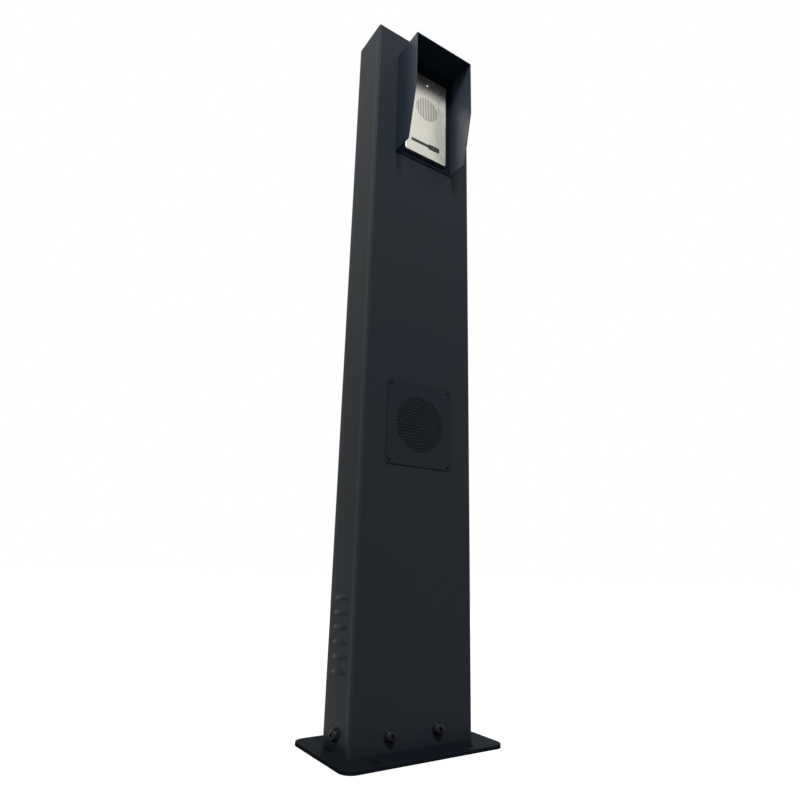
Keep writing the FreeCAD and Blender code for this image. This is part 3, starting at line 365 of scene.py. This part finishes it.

# %% [markdown]
# ## Six mixes of the one recipe
# One flat black for all would look like a toy, since the parts weather differently. The hood is
# bluer and shinier than the pillar, the base plate is dull and darker, and the loudspeaker's
# plate has painted shade over its punched field. Under the roof the coat is darker, as painted
# shade, and the inner faces of the hood's walls are lighter, as painted light.

# %% Mix the powder coats
# The pillar's coat carries a painted highlight along its upright bends.
coat = powder_coat("powder_coat", warm=(0.0270, 0.0325, 0.0365, 1),
                   cool=(0.0250, 0.0312, 0.0418, 1), shine=0.042, bend_highlight=0.7)
hood_coat = powder_coat("hood_coat", warm=(0.0185, 0.033, 0.048, 1),
                        cool=(0.0175, 0.033, 0.056, 1), shine=0.22)
foot_coat = powder_coat("foot_coat", warm=(0.0115, 0.014, 0.017, 1),
                        cool=(0.0105, 0.0135, 0.019, 1), shine=0.001)
# Painted light: a lighter coat for the inner faces of the hood's walls.
painted_light_coat = powder_coat("painted_light_coat", warm=(0.060, 0.074, 0.100, 1),
                         cool=(0.056, 0.070, 0.106, 1), shine=0.2)
# Painted shade: a darker coat for the underside of the hood's roof and its flange.
painted_shade_coat = powder_coat("painted_shade_coat", warm=(0.011, 0.0165, 0.024, 1),
                           cool=(0.011, 0.0165, 0.027, 1), shine=0)
# The loudspeaker plate's coat carries painted shade over its punched field.
grille_coat = powder_coat("grille_coat", warm=(0.0225, 0.0272, 0.0320, 1),
                          cool=(0.0210, 0.0262, 0.0365, 1), shine=0.04, field_shade=0.8)
for mix in (coat, hood_coat, foot_coat, painted_light_coat, painted_shade_coat, grille_coat):
    print("made", mix.name, "with", len(mix.node_tree.nodes), "nodes")

# %% [markdown]
# ## Brushed stainless
# The call panel is a folded stainless sheet, brushed from top to bottom. Brushing leaves
# thousands of shallow scratches in one direction. A noise stretched along the panel's height
# draws them, both in the bump and in the roughness, and an anisotropic highlight smears
# reflections across them. A black film on the narrow web between the name window and the button
# makes the two read as one dark bar.

# %% Brush the call panel
BRUSH_STROKES = (2400, 2400, 22)
FINER = 3
SCRATCH_DEPTH = 0.000001
PANEL_ROUGHNESS = 0.2
PANEL_METAL = 0.85
FILM_X = (0.0053, 0.0011)
FILM_Z = (1.221, 0.004)
FILM_COLOUR = (0.012, 0.012, 0.013, 1)


def brushed_steel(name, bright, dull):
    material, paint = new_paint(name)
    strokes = paint.stretched(BRUSH_STROKES)
    finer_strokes = paint.stretched(tuple(FINER * share for share in BRUSH_STROKES))
    scratches = paint.noise(1, detail=3, roughness=0.6, where=strokes)
    fine = paint.noise(1, where=finer_strokes)
    cloud = paint.noise(per_metre=22, detail=3)
    film = paint.within("X", *FILM_X) * paint.within("Z", *FILM_Z)
    tone = paint.blend(film, paint.blend(cloud, dull, bright), FILM_COLOUR)
    roughness = scratches * 0.06 + cloud * 0.06 + PANEL_ROUGHNESS
    relief = scratches * 0.6 + fine * 0.4
    paint.finish(Base_Color=tone, Metallic=(1 - film) * PANEL_METAL, Roughness=roughness,
                 Normal=paint.bump(relief, SCRATCH_DEPTH), Anisotropic=0.45)
    return material


panel_steel = brushed_steel("panel_steel", bright=(0.66, 0.65, 0.58, 1),
                            dull=(0.59, 0.58, 0.51, 1))
print("made", panel_steel.name)

# %% [markdown]
# ## Zinc, aluminium and blackened bolts
# The hidden hardware is zinc plated, which shows as a bluish silver with cloudy patches where the
# bath took unevenly. The screws under the call panel are passivated black over their zinc, since
# nothing bright shows there. Extruded aluminium is softer and greyer. The outside bolts are
# black: the steel is oxidised and oiled, so it keeps a little shine on the crown of each head.
# The small screws of the covers are duller than the foot bolts.

# %% Plate and blacken the hardware
METAL_GRAIN_DEPTH = 0.00001
OXIDE = (0.009, 0.0095, 0.011, 1)
WORN_OXIDE = (0.024, 0.024, 0.025, 1)


def plated(name, bright, dull, roughness, grain_per_metre):
    material, paint = new_paint(name)
    clouds = paint.noise(per_metre=90, detail=4, roughness=0.65)
    cloud = paint.ramp(clouds, low=0.3, high=0.7)
    grain = paint.noise(grain_per_metre)
    tone = paint.blend(cloud, dull, bright)
    paint.finish(Base_Color=tone, Metallic=1.0, Roughness=cloud * 0.12 + roughness,
                 Normal=paint.bump(grain, METAL_GRAIN_DEPTH))
    return material


def blackened(name, shine):
    material, paint = new_paint(name)
    spots = paint.noise(per_metre=400, detail=4, roughness=0.7)
    wear = paint.ramp(spots, low=0.52, high=0.75)
    grain = paint.noise(per_metre=1500)
    paint.finish(Base_Color=paint.blend(wear, OXIDE, WORN_OXIDE), Roughness=wear * 0.15 + 0.34,
                 Specular_IOR_Level=shine, Normal=paint.bump(grain, METAL_GRAIN_DEPTH))
    return material


zinc = plated("zinc_plate", bright=(0.62, 0.64, 0.66, 1), dull=(0.46, 0.47, 0.48, 1),
              roughness=0.28, grain_per_metre=1800)
dark_zinc = plated("dark_zinc", bright=(0.07, 0.07, 0.075, 1), dull=(0.04, 0.04, 0.044, 1),
                   roughness=0.4, grain_per_metre=1800)
galvanised = plated("galvanised_sheet", bright=(0.56, 0.58, 0.6, 1), dull=(0.42, 0.44, 0.46, 1),
                    roughness=0.36, grain_per_metre=900)
aluminium = plated("extruded_aluminium", bright=(0.66, 0.67, 0.68, 1), dull=(0.56, 0.57, 0.58, 1),
                   roughness=0.34, grain_per_metre=2400)
black_bolt = blackened("black_bolt", shine=0.14)
black_screw = blackened("black_screw", shine=0.05)
print("made", zinc.name, dark_zinc.name, galvanised.name, aluminium.name, black_bolt.name,
      black_screw.name)

# %% [markdown]
# ## Plastics, rubber and paper
# Moulded plastic takes the spark-eroded grain of its mould, rubber is duller and a touch uneven,
# and paper pulp is fibrous. One recipe serves them all, with other colours and grain sizes: a
# slow cloud between two near colours, which also moves the roughness, over a fine bump. The
# circuit board's solder resist is the only one with a clear coat.

# %% Mould and press


def moulded(name, colour, other, roughness, grain_per_metre, grain_depth, **extra):
    material, paint = new_paint(name)
    cloud = paint.noise(per_metre=60, detail=3)
    grain = paint.noise(grain_per_metre, detail=3)
    paint.finish(Base_Color=paint.blend(cloud, colour, other), Roughness=cloud * 0.1 + roughness,
                 Normal=paint.bump(grain, grain_depth), **extra)
    return material


rubber = moulded("seal_rubber", (0.012, 0.012, 0.013, 1), (0.02, 0.02, 0.021, 1),
                 roughness=0.6, grain_per_metre=900, grain_depth=0.00004)
grey_rubber = moulded("grey_rubber", (0.026, 0.027, 0.029, 1), (0.03, 0.031, 0.033, 1),
                      roughness=0.6, grain_per_metre=900, grain_depth=0.00004)
black_plastic = moulded("black_plastic", (0.014, 0.014, 0.015, 1), (0.019, 0.019, 0.021, 1),
                        roughness=0.42, grain_per_metre=1800, grain_depth=0.00002)
button_plastic = moulded("button_plastic", (0.01, 0.01, 0.011, 1), (0.013, 0.013, 0.015, 1),
                         roughness=0.3, grain_per_metre=2200, grain_depth=0.00001)
grey_plastic = moulded("terminal_plastic", (0.3, 0.31, 0.32, 1), (0.34, 0.35, 0.36, 1),
                       roughness=0.45, grain_per_metre=1500, grain_depth=0.00002)
card = moulded("name_card", (0.05, 0.05, 0.045, 1), (0.065, 0.064, 0.058, 1),
               roughness=0.7, grain_per_metre=1200, grain_depth=0.00002)
cone_paper = moulded("cone_paper", (0.014, 0.014, 0.015, 1), (0.03, 0.03, 0.031, 1),
                     roughness=0.8, grain_per_metre=700, grain_depth=0.0002)
ferrite = moulded("ferrite", (0.03, 0.03, 0.032, 1), (0.05, 0.05, 0.052, 1),
                  roughness=0.55, grain_per_metre=1100, grain_depth=0.00005)
board_green = moulded("circuit_board", (0.006, 0.06, 0.022, 1), (0.008, 0.075, 0.03, 1),
                      roughness=0.3, grain_per_metre=500, grain_depth=0.00003, Coat_Weight=0.5)
print("made", rubber.name, grey_rubber.name, black_plastic.name, button_plastic.name,
      grey_plastic.name, card.name, cone_paper.name, ferrite.name, board_green.name)

# %% [markdown]
# ## Splash cloth
# A black cloth behind the perforated plate keeps rain off the loudspeaker. It is a plain weave of
# fine threads, which two crossed sets of waves draw, both as colour and as bump. Blender's bands
# turn through twenty radians to the metre at a scale of one, so the scale follows from the thread
# count.

# %% Weave the splash cloth
THREADS_PER_METRE = 2128
THREAD_DEPTH = 0.0001
RADIANS_AT_SCALE_ONE = 20


def woven(name, colour, thread_colour):
    material, paint = new_paint(name)
    waves = {"wave_type": "BANDS", "wave_profile": "SIN"}
    scale = THREADS_PER_METRE * 2 * math.pi / RADIANS_AT_SCALE_ONE
    warp = paint.node("ShaderNodeTexWave", dict(waves, bands_direction="X"),
                      {"Vector": paint.place(), "Scale": scale})
    weft = paint.node("ShaderNodeTexWave", dict(waves, bands_direction="Z"),
                      {"Vector": paint.place(), "Scale": scale})
    over = warp * weft
    paint.finish(Base_Color=paint.blend(over, colour, thread_colour), Roughness=0.85,
                 Normal=paint.bump(over, THREAD_DEPTH))
    return material


cloth = woven("splash_cloth", (0.006, 0.006, 0.007, 1), (0.016, 0.016, 0.018, 1))
print("made", cloth.name)

# %% [markdown]
# ## The window and the light pipe
# The name window is a smoked clear strip, glossy on its face, and the light pipe is frosted, so
# that it spreads the light of a small lamp on the board. The photo shows it as a white point. A
# frosted piece is rough and lets light through; it also glows faintly.

# %% Cast the clear pieces
CLEAR_PLASTIC_IOR = 1.49


def smoked(name):
    material, paint = new_paint(name)
    haze = paint.noise(per_metre=80, detail=3)
    paint.finish(Base_Color=(0.09, 0.09, 0.085, 1), Roughness=haze * 0.08 + 0.05,
                 Transmission_Weight=0.85, IOR=CLEAR_PLASTIC_IOR)
    return material


def frosted(name):
    material, paint = new_paint(name)
    haze = paint.noise(per_metre=900, detail=3)
    paint.finish(Base_Color=(0.85, 0.88, 0.93, 1), Roughness=haze * 0.2 + 0.4,
                 Transmission_Weight=0.3, IOR=CLEAR_PLASTIC_IOR, Emission_Color=(0.8, 0.88, 1, 1),
                 Emission_Strength=0.45)
    return material


window_plastic = smoked("window_plastic")
light_pipe = frosted("light_pipe")
print("made", window_plastic.name, light_pipe.name)

# %% [markdown]
# ## Hand each node its finish
# Every node of the frame names one finish. The list reads like a painter's job sheet.

# %% Finish the nodes
JOB_SHEET = {
    coat: ["foot_frame", "pillar_shell", "rear_cover", "loudspeaker_basket"],
    hood_coat: ["rain_hood"],
    foot_coat: ["base_plate"],
    grille_coat: ["speaker_grille"],
    black_bolt: ["foot_bolts", "foot_washers"],
    black_screw: ["rear_cover_screws", "speaker_grille_screws"],
    panel_steel: ["call_panel"],
    zinc: ["foot_nuts", "earth_stud", "earth_stud_nuts", "rear_cover_nuts", "back_box_screws",
           "back_box_nuts", "button_spring", "board_standoffs", "board_screws",
           "speaker_grille_nuts", "loudspeaker_nuts", "equipment_studs", "equipment_nuts",
           "rail_screws", "amplifier_screws", "microphone"],
    dark_zinc: ["panel_screws"],
    galvanised: ["back_box", "panel_speaker_frame", "equipment_plate", "mounting_rail"],
    aluminium: ["amplifier_case", "amplifier_end_plates"],
    rubber: ["back_box_seal", "box_grommet", "microphone_boot", "panel_speaker_cushion",
             "loudspeaker_surround"],
    grey_rubber: ["speaker_grille_seal"],
    black_plastic: ["key_holder", "button_switch", "power_supply"],
    button_plastic: ["call_button"],
    grey_plastic: ["terminal_blocks"],
    card: ["name_card"],
    cone_paper: ["panel_speaker_cone", "loudspeaker_cone"],
    ferrite: ["panel_speaker_magnet", "loudspeaker_magnet"],
    board_green: ["circuit_board"],
    cloth: ["splash_membrane"],
    window_plastic: ["name_window"],
    light_pipe: ["status_lens"],
}


def give_finish(name, finish):
    mesh = nodes[name].data
    mesh.materials.clear()
    mesh.materials.append(finish)


for finish, names in JOB_SHEET.items():
    for name in names:
        give_finish(name, finish)
bare = set(nodes) - {name for names in JOB_SHEET.values() for name in names}
print("nodes without a finish:", sorted(bare))

# %% [markdown]
# ## Where the screws are
# The bolts of the foot and the screws of the covers are remade finer further down. The
# construction holds each one's place, diameter and length, so the box of each separate solid is
# read from its node. The node's mesh is loose triangles, so a copy of it is merged first, and the
# walk along its edges then finds one group of points for each solid.

# %% Find the separate solids of a node
WELD = 0.000001


def merged_copy(name):
    """A copy of a node's mesh, with its loose triangles joined."""
    shape = bmesh.new()
    shape.from_mesh(nodes[name].data)
    bmesh.ops.remove_doubles(shape, verts=shape.verts, dist=WELD)
    return shape


def loose_boxes(name):
    """Lowest and highest corner of each separate solid in a node, in the mesh's own order."""
    shape = merged_copy(name)
    seen = set()
    boxes = []
    for start in shape.verts:
        if start in seen:
            continue
        seen.add(start)
        group = [start]
        for point in group:
            beside = [edge.other_vert(point) for edge in point.link_edges]
            fresh = [other for other in beside if other not in seen]
            seen.update(fresh)
            group += fresh
        boxes.append([Vector(limit(point.co[axis] for point in group) for axis in range(3))
                      for limit in (min, max)])
    shape.free()
    return boxes


print("foot bolts found:", len(loose_boxes("foot_bolts")))

# %% [markdown]
# ## Button-head screws
# Everything that a passer-by can undo is a button-head screw with a hexagon socket. On the real
# screw the dome runs into a narrow countersunk ring round the socket, the socket's floor ends in
# a drill point, and the thread is rolled in rings down to a chamfered tip. A screw could be
# stacked from cylinders, but it is a turned part, so half its outline is spun once round. Only
# the socket isn't round: its hexagon is bridged to the mouth of the dome and pushed down. A spin
# needs its seam merged and its normals recalculated.

# %% Draw the dome and spin a profile round
HEAD_RATIO = 1.75
HEAD_HEIGHT_RATIO = 0.55
CROWN_RATIO = 0.8
SHOULDER_RATIO = 0.68
HEAD_EDGE_RATIO = 0.04
DOME_STEPS = 8


def spin_profile(shape, profile, steps):
    """A closed turn of (radius, height) points about +Z."""
    rim = [shape.verts.new((radius, 0, height)) for radius, height in profile]
    edges = [shape.edges.new(pair) for pair in zip(rim, rim[1:])]
    bmesh.ops.spin(shape, geom=rim + edges, cent=(0, 0, 0), axis=(0, 0, 1), angle=2 * math.pi,
                   steps=steps, use_merge=True, use_duplicate=False)
    bmesh.ops.remove_doubles(shape, verts=shape.verts, dist=WELD)


def dome_points(rim, crown, height):
    """A curve from the rim up to the crown, bowed out through the shoulder."""
    shoulder = Vector(((2 * rim + crown) / 3, SHOULDER_RATIO * height))
    low = Vector((rim, HEAD_EDGE_RATIO * height))
    high = Vector((crown, height))
    pull = 2 * shoulder - (low + high) / 2
    shares = [step / DOME_STEPS for step in range(DOME_STEPS + 1)]
    return [low * (1 - t) ** 2 + pull * (2 * t * (1 - t)) + high * t ** 2 for t in shares]


half_dome = dome_points(HEAD_RATIO / 2, CROWN_RATIO / 2, HEAD_HEIGHT_RATIO)
print("points on half a dome:", len(half_dome))

# %% Make a button-head screw
NECK_RATIO = 0.1
PITCH_RATIO = 0.16
THREAD_DEPTH_RATIO = 0.6
SOCKET_RATIO = 0.65
MOUTH_RATIO = 0.03
SOCKET_DEPTH_RATIO = 0.32
DRILL_POINT_RATIO = 0.06


def screw_profile(size, length, height):
    """Half a screw's outline, from the crown down to the tip."""
    rim = HEAD_RATIO * size / 2
    radius = size / 2
    pitch = PITCH_RATIO * size
    core = radius - THREAD_DEPTH_RATIO * pitch
    dome = dome_points(rim, CROWN_RATIO * size / 2, height)
    profile = [tuple(point) for point in reversed(dome)]
    profile += [(rim - HEAD_EDGE_RATIO * height, 0), ((1 + NECK_RATIO) * radius, 0),
                (radius, -NECK_RATIO * radius)]
    for ring in range(int((length - pitch) / pitch)):
        profile += [(core, -(ring + 0.6) * pitch), (radius, -(ring + 1.1) * pitch)]
    return profile + [(core, -length), (0, -length)]


def sink_socket(shape, mouth, size, height, sides):
    """A hexagon socket with a drill point, joined to the open mouth of the head."""
    reach = SOCKET_RATIO * size / math.sqrt(3)
    corners = bmesh.ops.create_circle(shape, segments=6, radius=reach)["verts"]
    bmesh.ops.translate(shape, verts=corners, vec=(0, 0, height - MOUTH_RATIO * size))
    bmesh.ops.subdivide_edges(shape, edges=[edge for edge in shape.edges if edge.is_wire],
                              cuts=sides // 6 - 1)
    hexagon = [edge for edge in shape.edges if edge.is_wire]
    bmesh.ops.bridge_loops(shape, edges=mouth + hexagon)
    down = bmesh.ops.extrude_edge_only(shape, edges=hexagon)["geom"]
    bmesh.ops.translate(shape, vec=(0, 0, -SOCKET_DEPTH_RATIO * size),
                        verts=[vert for vert in down if isinstance(vert, bmesh.types.BMVert)])
    floor = [edge for edge in down if isinstance(edge, bmesh.types.BMEdge)]
    lid = bmesh.ops.contextual_create(shape, geom=floor)["faces"]
    bmesh.ops.poke(shape, faces=lid, offset=-DRILL_POINT_RATIO * size, center_mode="MEAN")


def button_screw(size, length, sides):
    """A screw with its seat at the origin and its head towards +Z."""
    shape = bmesh.new()
    height = HEAD_HEIGHT_RATIO * size
    spin_profile(shape, screw_profile(size, length, height), sides)
    mouth = [edge for edge in shape.edges if edge.is_boundary]
    sink_socket(shape, mouth, size, height, sides)
    bmesh.ops.recalc_face_normals(shape, faces=shape.faces)
    return shape


sample = button_screw(size=0.012, length=0.02, sides=48)
print("faces of one foot bolt:", len(sample.faces))
sample.free()

# %% [markdown]
# ## Laying the finer pieces
# A finer piece has its seat at the origin, so it is turned towards the outside of the post and
# moved to the seat of the solid that it stands in for. All the screws of one node become one
# mesh, because they are one line in the parts list. The foot's washers are stamped, with a small
# chamfer on every edge, and are laid by the same function.

# %% Take a node's place


def in_place_of(name, piece_name, mesh, finish, sharp):
    """An object on the post's body, at the origin, in the place of a node."""
    mesh.shade_smooth()
    mesh.set_sharp_from_angle(angle=sharp)
    mesh.materials.append(finish)
    piece = bpy.data.objects.new(piece_name, mesh)
    bpy.context.scene.collection.objects.link(piece)
    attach(piece, "post")
    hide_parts(name)
    return piece


def outward_of(low, high):
    """The level axis of a round solid, the side unlike its height, pointing away from the post."""
    spans = high - low
    along = max(range(2), key=lambda axis: abs(spans[axis] - spans[2]))
    outward = Vector((0, 0, 0))
    outward[along] = 1 if low[along] + high[along] > 0 else -1
    return outward, along


low, high = loose_boxes("foot_bolts")[0]
print("the first foot bolt points along", tuple(outward_of(low, high)[0]))

# %% Lay the finer screws and washers where the solids are
SCREW_SHARP = math.radians(40)
BIG_SCREW = 0.01
BIG_SIDES = 48
SMALL_SIDES = 36
FOOT_BOLT_SIZE = 0.012
WASHER_GAP = 0.0005
WASHER_CHAMFER = 0.12
WASHER_SIDES = 64


def screw_for(across, span):
    """A screw for a solid's box, and how far it stands out past its seat."""
    size = across / HEAD_RATIO
    head = HEAD_HEIGHT_RATIO * size
    return button_screw(size, span - head, BIG_SIDES if size > BIG_SCREW else SMALL_SIDES), head


def washer_for(across, span):
    """A stamped washer for a solid's box, and how far it stands out past its seat."""
    shape = bmesh.new()
    outer = across / 2
    inner = FOOT_BOLT_SIZE / 2 + WASHER_GAP
    edge = WASHER_CHAMFER * span
    profile = [(inner, edge), (inner + edge, 0), (outer - edge, 0), (outer, edge),
               (outer, span - 2 * edge), (outer - 2 * edge, span), (inner + edge, span),
               (inner, span - edge), (inner, edge)]
    spin_profile(shape, profile, WASHER_SIDES)
    bmesh.ops.recalc_face_normals(shape, faces=shape.faces)
    return shape, span


def lay_pieces(piece_name, name, finish, make):
    """One object with a finer piece in the place of each solid of a node."""
    whole = bmesh.new()
    for low, high in loose_boxes(name):
        outward, along = outward_of(low, high)
        span = high[along] - low[along]
        shape, reach = make(high[2] - low[2], span)
        seat = (low + high) / 2 + outward * (span / 2 - reach)
        turn = Vector((0, 0, 1)).rotation_difference(outward).to_matrix().to_4x4()
        bmesh.ops.transform(shape, matrix=Matrix.Translation(seat) @ turn, verts=shape.verts)
        single = bpy.data.meshes.new("single")
        shape.to_mesh(single)
        shape.free()
        whole.from_mesh(single)
        bpy.data.meshes.remove(single)
    mesh = bpy.data.meshes.new(piece_name)
    whole.to_mesh(mesh)
    whole.free()
    return in_place_of(name, piece_name, mesh, finish, SCREW_SHARP)


for piece_name, name, finish, make in (
        ("foot_bolt_set", "foot_bolts", black_bolt, screw_for),
        ("foot_washer_set", "foot_washers", black_bolt, washer_for),
        ("rear_cover_screw_set", "rear_cover_screws", black_screw, screw_for),
        ("speaker_grille_screw_set", "speaker_grille_screws", black_screw, screw_for)):
    piece = lay_pieces(piece_name, name, finish, make)
    print("laid", piece.name, "with", len(piece.data.polygons), "faces")

# %% [markdown]
# ## Rounded sheet edges
# Powder melts round an edge, and a folded sheet has no knife-sharp edge left after deburring.
# That soft line is what catches the light on the hood. The flat faces of a merged copy are
# joined, and then every sharp edge gets a narrow bevel, which is how such an edge is modelled
# where the shape itself is right. Normals weighted by face area keep the big faces flat right up
# to the bevel, so that only the edge itself shades as a curve.

# %% Round the edges of the sheets
SHEET_EDGE = 0.0004
PLATE_EDGE = 0.0002
SHEET_SHARP = math.radians(50)
FLAT_WITHIN = math.radians(0.5)


def rounded_copy(piece_name, name, finish, width):
    """A node's shape with its sharp edges rounded, in the node's place."""
    shape = merged_copy(name)
    bmesh.ops.dissolve_limit(shape, angle_limit=FLAT_WITHIN, verts=shape.verts, edges=shape.edges)
    corners = [edge for edge in shape.edges
               if len(edge.link_faces) == 2 and edge.calc_face_angle() > SHEET_SHARP]
    bmesh.ops.bevel(shape, geom=corners, offset=width, offset_type="OFFSET", affect="EDGES",
                    segments=2, profile=0.5, material=-1, clamp_overlap=True, loop_slide=True)
    mesh = bpy.data.meshes.new(piece_name)
    shape.to_mesh(mesh)
    shape.free()
    piece = in_place_of(name, piece_name, mesh, finish, SHEET_SHARP)
    flats = piece.modifiers.new("keep_flats_flat", "WEIGHTED_NORMAL")
    flats.mode = "FACE_AREA"
    flats.keep_sharp = True
    print("rounded the edges of", name, "into", len(mesh.polygons), "faces")
    return piece


hood = rounded_copy("hood_sheet", "rain_hood", hood_coat, SHEET_EDGE)
rounded_copy("rear_cover_sheet", "rear_cover", coat, SHEET_EDGE)
rounded_copy("loudspeaker_plate_sheet", "speaker_grille", grille_coat, PLATE_EDGE)

# %% [markdown]
# ## Inside the hood
# The underside of the roof and the flange behind it take a darker coat, which is painted shade,
# and the inner faces of both side walls take a lighter one, which is painted light. A mask in the
# shader would spill onto the pillar's front, so the hood's own faces are sorted by the way they
# face and take one of three materials.

# %% Paint shade under the roof and light on the walls
ROOF_ABOVE = 1.43
FLANGE_BEHIND = -0.06
FACING = 0.7


def paint_hood_shade_and_light(mesh, painted_shade, painted_light):
    """Painted shade under the roof and on the flange, and painted light on the inner faces of both
    walls.
    """
    mesh.materials.append(painted_shade)
    mesh.materials.append(painted_light)
    for face in mesh.polygons:
        under_roof = face.normal.z < -FACING and face.center.z > ROOF_ABOVE
        on_flange = face.normal.y < -FACING and face.center.y > FLANGE_BEHIND
        if under_roof or on_flange:
            face.material_index = 1
        elif face.normal.x * face.center.x < 0 and abs(face.normal.x) > FACING:
            face.material_index = 2


paint_hood_shade_and_light(hood.data, painted_shade_coat, painted_light_coat)
# The faces of the third material carry painted light.
print("dusty faces:", sum(face.material_index == 2 for face in hood.data.polygons))

# %% [markdown]
# ## The button's leaf spring
# The call button rests on a bowed leaf. A rigid leaf would stand inside the pressed button; here
# the leaf is remade as a rounded copy of its node and gets its own mesh.

# %% Round the leaf spring
LEAF_EDGE = 0.00003
leaf = rounded_copy("button_leaf", "button_spring", zinc, LEAF_EDGE)
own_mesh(leaf)

# %% [markdown]
